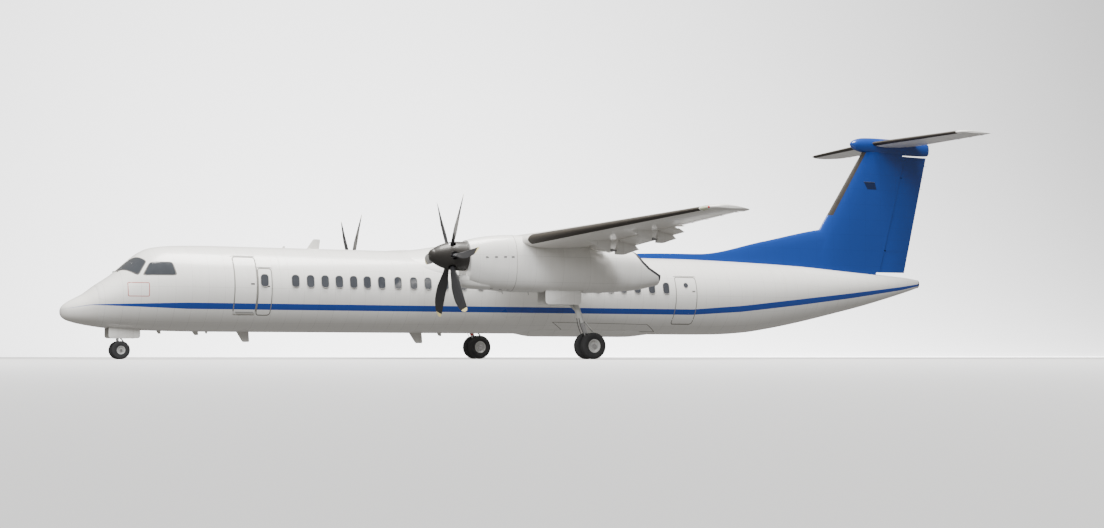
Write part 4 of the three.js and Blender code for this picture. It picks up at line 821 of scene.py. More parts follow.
# Cockpit glazing: two flat heated panes ahead and one curved pane on each side, bedded in dark
# sealant in a riveted frame, with a wiper parked at the foot of each front pane.
PANES = {
    "windscreen": ((1590, 70, 385), (2060, 70, 850), (2420, 800, 775), (2130, 985, 330)),
    "side_window": ((2260, 1055, 340), (2500, 880, 745), (3150, 1030, 770), (3250, 1240, 350)),
}
COCKPIT_GLASS = glass_material("cockpit_pane", (0.028, 0.031, 0.036, 1), 0.04)
SEALANT = rubber_material("pane_sealant", (0.10, 0.095, 0.09, 1), 0.6)


def pane_point(corners, side, u, v, out):
    """A point over the hull; u and v run from -1 to 1 over the pane, from its first corner at -1, -1."""
    a, b = (u + 1) / 2, (v + 1) / 2
    weights = ((1 - a) * (1 - b), (1 - a) * b, a * b, a * (1 - b))
    station, y, level = (sum(w * corner[k] for w, corner in zip(weights, corners)) for k in range(3))
    _, crown, keel, half, widest = hull_row(station)
    rise = crown - widest if level > widest else widest - keel
    return hull_point(station, math.atan2((level - widest) / rise, side * y / half), out)


def pane_ring(corners, side, share, out):
    """A ring near the pane's edge, or nearer its middle, between an ellipse and a square."""
    ring = []
    for c, s in circle(56):
        reach = share * (abs(c) ** 9 + abs(s) ** 9) ** (-1 / 9)
        ring.append(pane_point(corners, side, reach * c, reach * s, out))
    return ring


def build_cockpit():
    windscreen = PANES["windscreen"]
    for side_name, side in SIDES:
        for pane_name, corners in PANES.items():
            rings = [pane_ring(corners, side, share, out) for share, out in
                     ((0.97, -10), (0.97, 2.0), (0.8, 2.0), (0.6, 2.0), (0.4, 2.0), (0.2, 2.0))]
            pane = loft(f"{pane_name}_pane_{side_name}", [*rings, [pane_point(corners, side, 0, 0, 2.0)]])
            dress(pane, COCKPIT_GLASS, replaced=[f"{pane_name}_{side_name}"], sharp=50)
            rim = loft(f"{pane_name}_surround_{side_name}", [
                pane_ring(corners, side, share, out) for share, out in
                ((0.955, -10), (0.955, 4.0), (1.03, 4.5), (1.05, -6))], closed=True)
            dress(rim, SEALANT)
        foot, tip = (pane_point(windscreen, side, u, v, 22) for u, v in ((-0.6, -1.06), (0.7, -0.93)))
        boss = rod("boss", *(pane_point(windscreen, side, -0.62, -1.12, out) for out in (-5, 26)), 0.03, 16)
        wiper = merged(f"wiper_{side_name}", [rod("wiper", foot, tip, 0.009, 8), boss])
        dress(wiper, SEALANT)


build_cockpit()


# Belly fairing under the wheel bay floor, and the fairing that carries the wing over the cabin: light
# composite shells screwed to the barrels, painted like the skin, with soft edges all round.
VENTRAL = (  # station, depth below the keel, half width
    (15200, 4, 330),
    (15900, 95, 600),
    (19300, 95, 600),
    (20300, 4, 330),
)
SADDLE = (  # station, top level at the middle, level of the lower edge
    (10950, 1351, 1240),
    (11400, 1400, 800),
    (12100, 1500, 590),
    (12900, 1560, 540),
    (13600, 1560, 520),
    (16200, 1500, 520),
    (17400, 1440, 640),
    (18500, 1352, 1200),
)
SHELL_PAINT = painted_skin("shell_paint", OFF_WHITE, 0.9, 40.0, gloss=0.22, joint_depth=0.2)


def steps_of(table, step):
    """The table's own first numbers, with even steps between them."""
    found = []
    for a, b in zip(table, table[1:]):
        count = max(1, round(abs(b[0] - a[0]) / step))
        found.extend(a[0] + (b[0] - a[0]) * k / count for k in range(count))
    return [*found, table[-1][0]]


def rows_of(table, step):
    """Rows read on a table's smooth curve, at its own first numbers and at even steps between them."""
    return list(map(smooth_table(table), steps_of(table, step)))


def rounded_row(points, reach, steps=4):
    """A line of (y, level) points with its corners drawn round."""
    found = [points[0]]
    for before, corner, after in zip(points, points[1:], points[2:]):
        before, corner, after = Vector(before), Vector(corner), Vector(after)
        near = min(reach, (corner - before).length / 2, (after - corner).length / 2)
        start = corner + (before - corner).normalized() * near
        end = corner + (after - corner).normalized() * near
        for k in range(steps + 1):
            t = k / steps
            found.append(tuple(start * (1 - t) ** 2 + corner * 2 * t * (1 - t) + end * t * t))
    return [*found, points[-1]]


def build_body_fairings():
    rings = []
    for station, depth, half in rows_of(VENTRAL, 120):
        low = -BARREL_RADIUS - depth
        line = [(half, -1180), (half, -1235), (0.72 * half, low + 45), (0.4 * half, low)]
        line = [*((-y, level) for y, level in line), *reversed(line)]
        rings.append([place(station, y, level) for y, level in rounded_row(line, 90)])
    dress(loft("belly_fairing_shell", rings), SHELL_PAINT, replaced=["ventral_fairing"])

    rings = []
    around = 28
    for station, top, edge in rows_of(SADDLE, 110):
        low = math.asin(edge / BARREL_RADIUS)
        ring = []
        for k in range(2 * around + 1):
            share = k / around - 1
            angle = math.pi / 2 + share * (math.pi / 2 - low)
            reach = BARREL_RADIUS + 3 + (top - BARREL_RADIUS - 3) * (1 - abs(share)) ** 0.6
            ring.append(place(station, reach * math.cos(angle), reach * math.sin(angle)))
        ring += [place(station, a * BARREL_RADIUS * math.cos(low), 0.93 * BARREL_RADIUS * math.sin(low))
                 for a in (-0.9, 0.9)]
        rings.append(ring)
    dress(loft("wing_fairing_shell", rings), SHELL_PAINT, replaced=["wing_body_fairing"], sharp=50)


build_body_fairings()


# Wing: a centre box over the cabin and two tapered outer panels, all riveted sheet over spars and
# ribs. Rubber de-icing boots are glued along the outer leading edges; the tips are moulded caps.
WING_KINK = 5030
WING_TIP, TIP_CAP = 14210, 260
ROOT_LEADING, ROOT_CHORD, ROOT_THICKNESS = 13150, 2850, 0.18
TIP_LEADING, TIP_CHORD, TIP_THICKNESS = 14300, 1250, 0.13
WING_LEVEL, DIHEDRAL, INCIDENCE, CAMBER = 1500, 2.5, 2, 0.02
INNER_FLAP, OUTER_FLAP = (1150, 3700), (5080, 10200)
FLAP_FAIRINGS = (7000, 9500)
FLAP_HINGE = (0.70, -0.16)
FLAP_DROOP = 15
COVE_CHORD, SHROUD_CHORD, SHROUD_SKIN = 0.735, 0.87, 0.010
AILERON = (10330, 13700)
AILERON_HINGE, AILERON_SPAR = 0.76, 0.71
BOOT_SPAN = (5200, 13600)
BOOT_DEPTH = 0.055
WING_PAINT = painted_skin("wing_paint", (0.79, 0.775, 0.74, 1), 0.55, 0.72, across="y", stain=0.14)
DEICING_BOOT = rubber_material("deicing_boot", (0.030, 0.026, 0.022, 1), 0.55)


def wing_plan(y):
    """Leading edge station, chord, level and thickness at a distance from the middle."""
    share = max(0, (y - WING_KINK) / (WING_TIP - WING_KINK))
    return (mix(ROOT_LEADING, TIP_LEADING, share), mix(ROOT_CHORD, TIP_CHORD, share),
            WING_LEVEL + max(0, y - WING_KINK) * math.tan(math.radians(DIHEDRAL)),
            mix(ROOT_THICKNESS, TIP_THICKNESS, share))


def half_thickness(at, thickness):
    """Half the thickness of a wing section at a share of its chord."""
    return 5 * thickness * (0.2969 * math.sqrt(at) - 0.126 * at - 0.3516 * at ** 2 + 0.2843 * at ** 3
                            - 0.1015 * at ** 4)


def wing_point(y, side, aft, up):
    leading, chord, level, _ = wing_plan(y)
    return place(leading + aft * chord, side * y,
                 level + up * chord - aft * chord * math.tan(math.radians(INCIDENCE)))


def camber_line(at):
    return 4 * CAMBER * at * (1 - at)


def wing_upper(y, at):
    return camber_line(at) + half_thickness(at, wing_plan(y)[3])


def wing_lower(y, at):
    return camber_line(at) - half_thickness(at, wing_plan(y)[3])


def chord_steps():
    """Shares of the chord from the trailing edge to the leading edge, close together at the nose."""
    found = [round((1 - math.cos(math.pi * k / 26)) / 2, 5) for k in range(27)]
    return sorted({*found, BOOT_DEPTH}, reverse=True)


def wing_ring(y, side):
    steps = chord_steps()
    return [*(wing_point(y, side, at, wing_upper(y, at)) for at in steps),
            *(wing_point(y, side, at, wing_lower(y, at)) for at in reversed(steps[:-1]))]


def spaced(y_low, y_high, step=700):
    count = max(1, round((y_high - y_low) / step))
    return [mix(y_low, y_high, k / count) for k in range(count + 1)]


def space_behind(name, low, high, side, outline):
    return loft(name, [[wing_point(y, side, aft, up) for aft, up in outline(y)] for y in (low, high)])


def flap_space(span, side):
    def outline(y):
        skin = {at: wing_upper(y, at) - SHROUD_SKIN for at in (COVE_CHORD, 0.8, SHROUD_CHORD)}
        return ((COVE_CHORD, -0.3), *skin.items(), (SHROUD_CHORD, 0.3), (1.2, 0.3), (1.2, -0.3))
    return space_behind("flap_space", span[0] - 20, span[1] + 20, side, outline)


def aileron_space(side):
    return space_behind("aileron_space", AILERON[0] - 12, AILERON[1] + 12, side,
                        lambda y: ((AILERON_SPAR, -0.3), (AILERON_SPAR, 0.3), (1.2, 0.3), (1.2, -0.3)))


def flap_hinge(span, side):
    """A point on the flap's hinge line and the direction that the line runs in, away from the middle."""
    inner, outer = (wing_point(y, side, *FLAP_HINGE) for y in span)
    return inner, (outer - inner).normalized()


def crossing(line, y):
    point, axis = line
    return point + axis * ((y / 1000 - point.y) / axis.y)


def drooped(made, line, side, degrees):
    """Turns a mesh about a hinge line; a positive angle brings a trailing edge down."""
    point, axis = line
    turn = Matrix.Rotation(math.radians(-side * degrees), 4, axis)
    made.data.transform(Matrix.Translation(point) @ turn @ Matrix.Translation(-point))
    return made


def paint_where(made, material, test):
    """Gives the faces whose middle passes the test another finish."""
    made.data.materials.append(material)
    number = len(made.data.materials) - 1
    for face in made.data.polygons:
        if test(face.center):
            face.material_index = number


def read_place(point):
    """Station, distance from the middle and level of a point, in mm."""
    return FRAME_LENGTH / 2 - point.x * 1000, point.y * 1000, point.z * 1000 - CENTRELINE


def on_boot(point):
    station, y, _ = read_place(point)
    leading, chord, _, _ = wing_plan(abs(y))
    return BOOT_SPAN[0] < abs(y) < BOOT_SPAN[1] and (station - leading) / chord < BOOT_DEPTH


def build_wing():
    centre = loft("wing_centre_skin", [wing_ring(WING_KINK, side) for side in (-1, 1)])
    cut(centre, *[flap_space(INNER_FLAP, side) for _, side in SIDES])
    dress(centre, WING_PAINT, replaced=["wing_centre"])
    for side_name, side in SIDES:
        rings = [wing_ring(y, side) for y in sorted({*spaced(WING_KINK + 0.3, WING_TIP - TIP_CAP), *BOOT_SPAN})]
        root, rim = (wing_ring(y, side) for y in (WING_TIP - TIP_CAP, WING_TIP))
        middle = wing_point(WING_TIP, side, 0.62, 0.01)
        for turn in (math.pi / 14 * k for k in range(1, 8)):
            shrink = 1 - math.cos(turn)
            ring = [inner.lerp(outer, math.sin(turn)) for inner, outer in zip(root, rim)]
            rings.append([Vector((mix(x, middle.x, 0.38 * shrink), y, mix(z, middle.z, 0.55 * shrink)))
                          for x, y, z in ring])
        wing = loft(f"wing_skin_{side_name}", rings)
        cut(wing, flap_space(OUTER_FLAP, side), aileron_space(side))
        dress(wing, WING_PAINT, replaced=[f"wing_{side_name}"])
        paint_where(wing, DEICING_BOOT, on_boot)


build_wing()


# Flaps: one inner and one outer panel on each side, riveted sheet, each turning about a line below
# the wing on arms and lugs. The outer one has two boat-shaped fairings, split at the hinge.
FLAP_PAINT = painted_skin("flap_paint", (0.78, 0.765, 0.73, 1), 40.0, 0.5, across="y", stain=0.16)
FITTING = metal_material("steel_fitting", (0.45, 0.45, 0.46, 1), 0.38, 0.9)


def flap_ring(y, side):
    def under(at):
        return wing_upper(y, at) - SHROUD_SKIN - 0.0055
    spots = [(1, wing_upper(y, 1)), (0.97, wing_upper(y, 0.97)), (0.94, wing_upper(y, 0.94)),
             (0.91, wing_upper(y, 0.91) - 0.0005), (0.89, wing_upper(y, 0.89) - 0.002), (0.876, under(0.876)),
             (0.85, under(0.85)), (0.82, under(0.82)), (0.79, under(0.79))]
    nose = [(0.79, under(0.79)), (0.762, under(0.76) - 0.010), (0.747, 0.012),
            (0.754, wing_lower(y, 0.756) + 0.016), (0.79, wing_lower(y, 0.79))]
    spots += rounded_row(nose, 0.03, 3)[1:]
    spots += [(at, wing_lower(y, at)) for at in (0.82, 0.86, 0.9, 0.95, 1)]
    return [wing_point(y, side, aft, up) for aft, up in spots]


def bar(name, start, end, across, over):
    """A straight bar of rectangular section, from its half width and half height as directions in metres."""
    corners = (across + over, over - across, -across - over, across - over)
    return loft(name, [[spot + corner for corner in corners] for spot in (start, end)])


def fairing_ring(y, side, aft, low, high, half_width):
    middle = wing_point(y, side, aft, (low + high) / 2)
    reach = 0.54 * (high - low) * wing_plan(y)[1]
    return [middle + Vector((0, half_width * c, reach * s)) / 1000 for c, s in circle(28, 0.5)]


FAIRING_FRONT = ((0.36, -0.062, -0.058, 2), (0.40, -0.082, -0.03, 34), (0.44, -0.095, -0.02, 50),
                 (0.55, -0.145, 0, 78), (0.665, -0.185, 0, 80))
FAIRING_REAR = ((0.752, -0.19, -0.02, 80), (0.86, -0.16, 0, 70), (0.97, -0.09, 0, 45),
                (1.06, -0.036, -0.034, 2))


def fairing_shell(name, table, y, side):
    return loft(name, [fairing_ring(y, side, *row) for row in rows_of(table, 0.02)])


def flap_fairing(number, y, side_name, side, line):
    """Both halves of one fairing and its lug; returns the arm that moves with the flap."""
    point, axis = crossing(line, side * y), line[1]
    chord = wing_plan(y)[1]

    def along(distance):
        return point + axis * (distance / 1000)

    def arm(start, fore, width, height):
        way = Vector((fore * chord, 0, 0.01 * chord)) / 1000
        way -= axis * way.dot(axis)
        over = way.normalized().cross(axis)
        return bar("arm", start, start + way, axis * (width / 2000), over * (height / 2000))

    dress(fairing_shell(f"flap_fairing_front_{number}_{side_name}", FAIRING_FRONT, y, side), SHELL_PAINT)
    rear = fairing_shell(f"flap_fairing_rear_{number}_{side_name}", FAIRING_REAR, y, side)
    dress(drooped(rear, line, side, FLAP_DROOP), SHELL_PAINT, f"flap_outer_{side_name}")
    lug = [rod("eye", along(-20), along(20), 0.05), arm(point, 0.06, 40, 70)]
    dress(merged(f"flap_lug_{number}_{side_name}", lug), FITTING)
    tongue = [rod("eye", along(20.3), along(46), 0.044), arm(along(33), -0.12, 25.4, 60)]
    return drooped(merged("tongue", tongue), line, side, FLAP_DROOP)


def inner_flap_arms(side, line):
    """The arm, its eye and its pin at each end of the inner flap."""
    parts = []
    for y_from, y_to in ((INNER_FLAP[1] - 40, INNER_FLAP[1] + 108), (INNER_FLAP[0] + 40, INNER_FLAP[0] - 113)):
        start, end = crossing(line, side * y_from), crossing(line, side * y_to)
        way = Vector((-0.12, 0, 0.15)) * (ROOT_CHORD / 1000)
        parts.append(bar("arm", start, start + way, PORT * 0.017, way.normalized().cross(PORT) * 0.045))
        parts.append(rod("eye", start - PORT * 0.017, start + PORT * 0.017, 0.048))
        parts.append(rod("pin", start, end, 0.0199))
    return [drooped(part, line, side, FLAP_DROOP) for part in parts]


def build_flaps():
    for side_name, side in SIDES:
        for kind, span in (("outer", OUTER_FLAP), ("inner", INNER_FLAP)):
            body = f"flap_{kind}_{side_name}"
            line = flap_hinge(span, side)
            panel = loft(f"flap_{kind}_panel_{side_name}", [flap_ring(y, side) for y in spaced(*span)])
            dress(drooped(panel, line, side, FLAP_DROOP), FLAP_PAINT, body, replaced=[body])
            if kind == "outer":
                name = f"flap_tongues_{side_name}"
                arms = [flap_fairing(number, y, side_name, side, line)
                        for number, y in enumerate(FLAP_FAIRINGS, 1)]
            else:
                name = f"flap_inner_arms_{side_name}"
                arms = inner_flap_arms(side, line)
            dress(merged(name, arms), FITTING, body)


build_flaps()


# Ailerons: narrow sheet-metal surfaces with a round nose, hung on two small brackets each, with
# static wicks, thin carbon-wool rods in clips, at their trailing edges.
def surface_ring(hinge, nose, chord, up=UP, trailing=3):
    """A round nose about the hinge and two sides that meet at the trailing edge; sizes in mm."""
    turns = [math.radians(90 + 15 * k) for k in range(13)]
    return [*(hinge + (AFT * math.cos(turn) + up * math.sin(turn)) * (nose / 1000) for turn in turns),
            *(hinge + (AFT * chord + up * sign * trailing) / 1000 for sign in (-1, 1))]


def bracket_pair(point, axis, nose, reach):
    """The lug on the fixed part, the slot in the moving part and the pin through both; sizes in mm."""
    square = (-AFT - axis * (-AFT).dot(axis)).normalized()
    lug = bar("lug", point - square * 0.022, point + square * (reach / 1000), axis * 0.009,
              square.cross(axis) * 0.022)
    slot = rod("slot", point - axis * 0.016, point + axis * 0.016, (nose + 22) / 1000, 24)
    return lug, slot, rod("pin", point - axis * 0.024, point + axis * 0.024, 0.0099, 16)


def wick_unit():
    return merged("unit", [rod(name, (0, 0, -0.02), (0, 0, end), radius, 8)
                           for name, end, radius in (("rod", 0.11, 0.0045), ("clip", 0.025, 0.008))])


def hang_surface(kind, side_name, side, ends, span, hinge, plan, brackets, wick_count, wick_span):
    """A round-nosed surface on two brackets, with its wicks; plan gives chord and thickness at y."""
    line = (ends[0], (ends[1] - ends[0]).normalized())

    def nose(y):
        chord, thickness = plan(y)
        return half_thickness(hinge, thickness) * chord

    def behind(y):
        return plan(y)[0] * (1 - hinge)

    body = f"{kind}_{side_name}"
    skin = loft(f"{kind}_skin_{side_name}", [
        surface_ring(crossing(line, side * y), nose(y), behind(y)) for y in spaced(*span)])
    lugs, slots, pins = zip(*[bracket_pair(crossing(line, side * y), line[1], nose(y), 0.09 * plan(y)[0])
                              for y in brackets])
    cut(skin, *slots)
    dress(skin, FLAP_PAINT, body, replaced=[body])
    dress(merged(f"{kind}_pins_{side_name}", pins), FITTING, body)
    dress(merged(f"{kind}_lugs_{side_name}", lugs), FITTING)
    marks = [mix(*wick_span, (k + 0.5) / wick_count) for k in range(wick_count)]
    spots = [(crossing(line, side * y) + AFT * (behind(y) / 1000), AFT, UP) for y in marks]
    dress(repeated(f"{kind}_wicks_{side_name}", wick_unit(), spots, SEALANT), SEALANT, body)


def wing_section(y):
    _, chord, _, thickness = wing_plan(y)
    return chord, thickness


def build_ailerons():
    for side_name, side in SIDES:
        ends = [wing_point(y, side, AILERON_HINGE, camber_line(AILERON_HINGE)) for y in AILERON]
        hang_surface("aileron", side_name, side, ends, AILERON, AILERON_HINGE, wing_section,
                     (AILERON[0] + 500, AILERON[1] - 500), 4, AILERON)


build_ailerons()


# Nacelles: sheet-metal shells under the wing that hold engine, exhaust and main wheel well, with a
# removable cowling in front whose chin intake has a rounded lip. Screwed panels, painted like the skin.
NACELLE_Y = 4400
THRUST_LEVEL = 970
NACELLE = (  # station, top level, bottom level, half width
    (11400, 1470, 110, 500),
    (11750, 1555, 10, 570),
    (12300, 1635, -60, 605),
    (12900, 1675, -92, 618),
    (13850, 1640, -102, 620),
    (15200, 1520, -100, 620),
    (15900, 1385, -90, 612),
    (16400, 1345, -65, 590),
    (17270, 1262, 5, 520),
    (18140, 1000, 180, 400),
)
INTAKE = (  # station, level, half height, half width
    (11110, 215, 165, 270),
    (11180, 210, 190, 300),
    (11500, 190, 215, 350),
    (12100, 150, 200, 380),
)
THROAT = (  # station, level, half height, half width
    (11100, 215, 135, 240),
    (11500, 215, 125, 250),
    (11800, 225, 120, 250),
)
COWL_JOINT = 12900
EXHAUST_CUT = (  # station, level
    (17270, 1290),
    (17330, 1130),
    (17480, 930),
    (17700, 740),
    (17960, 600),
    (18130, 510),
    (18170, 380),
    (18300, 380),
    (18300, 1600),
    (17270, 1600),
)
WHEEL_WELL = {"front": 14020, "rear": 15320, "half": 300, "roof": 800}
NACELLE_PAINT = painted_skin("nacelle_paint", OFF_WHITE, 0.95, 0.8, across="z", gloss=0.24, stain=0.16)
# Near-black paint that stands in for shade: painted shade in the intake's throat, in the mouth of the power
# unit's pipe and along the exhaust mouth.
PAINTED_SHADE_BLACK = painted_metal("painted_shade_black", (0.05, 0.05, 0.055, 1), 0.5)
EXHAUST_METAL = metal_material("exhaust_metal", (0.16, 0.13, 0.105, 1), 0.42, 0.85)
WELL_PAINT = painted_metal("wheel_well_paint", (0.50, 0.50, 0.47, 1), 0.5)
nacelle_row = smooth_table(NACELLE)


def oval_ring(station, y, top, bottom, half, sides=56, power=2.5):
    """A section between an ellipse and a rounded box."""
    middle, reach = (top + bottom) / 2, (top - bottom) / 2
    return [place(station, y + math.copysign(abs(c) ** (2 / power), c) * half,
                  middle + math.copysign(abs(s) ** (2 / power), s) * reach) for c, s in circle(sides)]


def nacelle_body(name, y, front, rear, inset=0):
    marks = [front, *(station for station in steps_of(NACELLE, 160) if front < station < rear), rear]
    return loft(name, [oval_ring(station, y, top - inset, bottom + inset, half - inset)
                       for station, top, bottom, half in map(nacelle_row, marks)])


def duct_body(name, table, y):
    return loft(name, [oval_ring(station, y, level + high, level - high, wide, 40, 2.6)
                       for station, level, high, wide in rows_of(table, 60)])


def build_nacelles():
    duct_row = smooth_table(THROAT)
    end = NACELLE[-1][0]
    for side_name, side in SIDES:
        middle_y = side * NACELLE_Y

        def in_exhaust(point):
            station, y, level = read_place(point)
            _, top, bottom, half = nacelle_row(min(station, end))
            across = abs(y - middle_y) / (half - 14)
            over = abs(level - (top + bottom) / 2) / ((top - bottom) / 2 - 14)
            return station >= 16950 and across ** 2.5 + over ** 2.5 < 1

        def in_well(point):
            station, y, level = read_place(point)
            across = abs(y - middle_y) - WHEEL_WELL["half"]
            return (WHEEL_WELL["front"] - 1 < station < WHEEL_WELL["rear"] + 1 and across < 1
                    and level < WHEEL_WELL["roof"] + 1 and (level > -60 or across > -1))

        # Faces in the intake's throat, which are painted near-black as painted shade.
        def in_shaded_throat(point):
            station, y, level = read_place(point)
            _, middle, high, wide = duct_row(station)
            across, over = abs(y - middle_y) / (wide + 6), abs(level - middle) / (high + 6)
            return THROAT[0][0] + 4 < station < THROAT[-1][0] and across ** 2.6 + over ** 2.6 < 1

        shell = nacelle_body(f"nacelle_shell_{side_name}", middle_y, COWL_JOINT + 0.3, end)
        hollow = nacelle_body("hollow", middle_y, 16900, end - 0.01, 30)
        hollow_end = link(bpy.data.objects.new("hollow_end", hollow.data.copy()))
        hollow_end.data.transform(Matrix.Translation(AFT * 0.06))
        tail = loft("exhaust_cut", [[place(station, middle_y + across, level) for station, level in EXHAUST_CUT]
                                    for across in (-700, 700)])
        well = box_object("well", place(WHEEL_WELL["rear"], middle_y - WHEEL_WELL["half"], -300),
                          place(WHEEL_WELL["front"], middle_y + WHEEL_WELL["half"], WHEEL_WELL["roof"]))
        cut(shell, hollow, hollow_end, tail, well)
        dress(shell, NACELLE_PAINT, replaced=[f"nacelle_{side_name}"], sharp=38)
        paint_where(shell, EXHAUST_METAL, in_exhaust)
        paint_where(shell, WELL_PAINT, in_well)

        cowl = nacelle_body(f"cowling_shell_{side_name}", middle_y, NACELLE[0][0], COWL_JOINT)
        cut(cowl, duct_body("chin", INTAKE, middle_y), operation="UNION")
        throat = duct_body("throat", THROAT, middle_y)
        inside = nacelle_body("inside", middle_y, NACELLE[0][0] + 40, COWL_JOINT + 60, 40)
        mouth = rod("mouth", *(place(station, middle_y, THRUST_LEVEL) for station in (11300, 11500)), 0.26, 48)
        cut(cowl, inside, throat, mouth)
        dress(cowl, NACELLE_PAINT, replaced=[f"cowling_{side_name}"], sharp=38)
        # The throat gets painted shade: near-black for the dark inside of the intake.
        paint_where(cowl, PAINTED_SHADE_BLACK, in_shaded_throat)


build_nacelles()


# Propellers: six swept composite blades each, in near-black erosion paint with pale yellow tips,
# plugged into a metal hub under a black spinner. The whole set turns on the engine's shaft.
PROPELLER_STATION = 10880
BLADE = (  # radius, chord, sweep, thickness, pitch
    (230, 150, 0, 110, 62),
    (520, 165, 5, 75, 58),
    (800, 250, 5, 50, 50),
    (1150, 325, -10, 36, 42),
    (1500, 345, 0, 27, 35),
    (1850, 280, 55, 18, 31),
    (1990, 195, 100, 12, 29),
    (2055, 90, 130, 7, 28),
)
SPINNER = (  # station, radius
    (10180, 0),
    (10210, 85),
    (10320, 200),
    (10540, 325),
    (10820, 415),
    (11100, 450),
    (11370, 450),
)
HUB = (  # station, radius
    (10690, 0), (10690, 240), (10720, 280), (11325, 280), (11325, 424.7), (11360, 424.7), (11360, 45),
    (11800, 45), (11800, 0),
)
BLADE_COUNT = 6
FIRST_BLADE = 0.5
BLADE_HOLE = 0.125
TIP_START = 1.93
BLADE_BLACK = painted_metal("blade_black", (0.022, 0.022, 0.024, 1), 0.38)
TIP_YELLOW = painted_metal("blade_tip_yellow", (0.72, 0.62, 0.30, 1), 0.42)
SPINNER_BLACK = painted_metal("spinner_black", (0.024, 0.022, 0.020, 1), 0.46)
HUB_METAL = metal_material("hub_metal", (0.50, 0.50, 0.52, 1), 0.35)


def blade_unit():
    """One blade about the hub's middle, along +Y with the shaft along +Z."""
    rings = []
    for radius, chord, sweep, thickness, pitch in rows_of(BLADE, 45):
        sine, cosine = math.sin(math.radians(pitch)), math.cos(math.radians(pitch))
        ring = []
        for c, s in circle(24):
            along = chord / 2 * c - sweep
            over = thickness / 2 * s * (1 - 0.35 * c)
            ring.append(Vector((along * cosine + over * sine, radius, along * sine - over * cosine)) / 1000)
        rings.append(ring)
    return loft("unit", rings)


def turned_profile(name, profile, y, level, sides=72):
    """A body turned about the shaft line from (station, radius in mm) spots that close on themselves."""
    return loft(name, [[place(station, y + radius * s, level + radius * c) for station, radius in profile]
                       for c, s in circle(sides)], closed=True)


def spinner_dome():
    """Stations and radii of the spinner's outside, close together at its blunt tip."""
    row = smooth_table(SPINNER)
    tip, blunt_end, blunt_radius = SPINNER[0][0], *SPINNER[2]
    found = []
    for k in range(35):
        station = tip + (SPINNER[-1][0] - tip) * (1 - math.cos(math.pi / 2 * k / 34))
        fall = (blunt_end - station) / (blunt_end - tip)
        radius = blunt_radius * math.sqrt(max(0, 1 - fall ** 1.6)) if fall > 0 else row(station)[1]
        found.append((station, radius))
    return found


def build_propellers():
    outside = spinner_dome()
    inside = [(station + 25, max(0, radius - 25)) for station, radius in outside[:-2] if radius > 30]
    spinner_profile = [*outside, (SPINNER[-1][0], 425), *reversed(inside), (inside[0][0], 0)]
    for side_name, side in SIDES:
        y = side * NACELLE_Y
        body = f"propeller_{side_name}"
        middle = place(PROPELLER_STATION, y, THRUST_LEVEL)
        spots = [(middle, -AFT, Vector((0, -s, c))) for c, s in circle(BLADE_COUNT, FIRST_BLADE)]
        blades = repeated(f"blades_{side_name}", blade_unit(), spots, BLADE_BLACK)
        dress(blades, BLADE_BLACK, body, [body], sharp=60)
        paint_where(blades, TIP_YELLOW, lambda point: (point - middle).yz.length > TIP_START)
        dress(turned_profile(f"hub_{side_name}", HUB, y, THRUST_LEVEL, 48), HUB_METAL, body)
        spinner = turned_profile(f"spinner_shell_{side_name}", spinner_profile, y, THRUST_LEVEL)
        cut(spinner, *[rod("hole", middle, middle + outward * 0.6, BLADE_HOLE, 32) for _, _, outward in spots])
        dress(spinner, SPINNER_BLACK, body, [f"spinner_{side_name}"], sharp=40)


build_propellers()


# Fin and dorsal fillet: riveted sheet over spars, blue all over. A dark de-icing boot covers the
# upper part of the leading edge, and the rudder hangs behind on two brackets.
FIN = (  # level, leading station, hinge station, half thickness
    (700, 26500, 30310, 215),
    (2650, 27770, 30880, 195),
    (5800, 29870, 31800, 140),
)
FIN_GAP = 165
FIN_SECTION = (0, 0.02, 0.08, 0.2, 0.4, 0.65, 1)
FIN_FULLNESS = (0, 0.3, 0.6, 0.88, 1, 0.93, 0.7)
FULLNESS = smooth_table(tuple(zip([math.sqrt(share) for share in FIN_SECTION], FIN_FULLNESS)))
DORSAL = (  # station, top level, half width
    (18800, 1352, 40),
    (19700, 1490, 60),
    (20900, 1540, 70),
    (22500, 1560, 78),
    (25200, 2080, 110),
    (27760, 2600, 150),
    (28600, 2700, 150),
)
RUDDER = (  # level, nose radius, chord behind the hinge line
    (1060, 118, 1240),
    (5520, 78, 1040),
)
RUDDER_BRACKETS = (1900, 4700)
RUDDER_WICKS = (4300, 4750, 5200)
FIN_BOOT = (3150, 5700)
FIN_BOOT_DEPTH = 0.075
FIN_BLUE = (0.005, 0.040, 0.230, 1)
FIN_PAINT = painted_skin("fin_blue_paint", FIN_BLUE, 0.74, 0.58, across="z", gloss=0.24, stain=0.0,
                         joint_depth=0.2)
RUDDER_PAINT = painted_skin("rudder_blue_paint", FIN_BLUE, 40.0, 0.45, across="z", gloss=0.24, stain=0.0)
SHROUD_REACH = 140


def straight_row(table, value):
    """The table's row at a value of its first column, straight between its rows."""
    for low, high in zip(table, table[1:]):
        if value <= high[0]:
            break
    share = (value - low[0]) / (high[0] - low[0])
    return tuple(mix(a, b, share) for a, b in zip(low, high))


def fin_share(station, level):
    """The share of the fin's chord ahead of its rear face at a station and level."""
    _, leading, hinge, _ = straight_row(FIN, level)
    return (station - leading) / (hinge - FIN_GAP - leading)


def fin_skin(share, level, sign, out=0):
    """A point of the fin's skin, or out millimetres off it, at a share of its chord."""
    _, leading, hinge, half = straight_row(FIN, level)
    reach = half * FULLNESS(math.sqrt(share))[1] + out
    return place(mix(leading, hinge - FIN_GAP, share), sign * reach, level)


def fin_ring(level):
    shares = sorted({*((k / 18) ** 2 for k in range(19)), FIN_BOOT_DEPTH})
    return [*(fin_skin(share, level, 1) for share in shares),
            *(fin_skin(share, level, -1) for share in reversed(shares[1:]))]


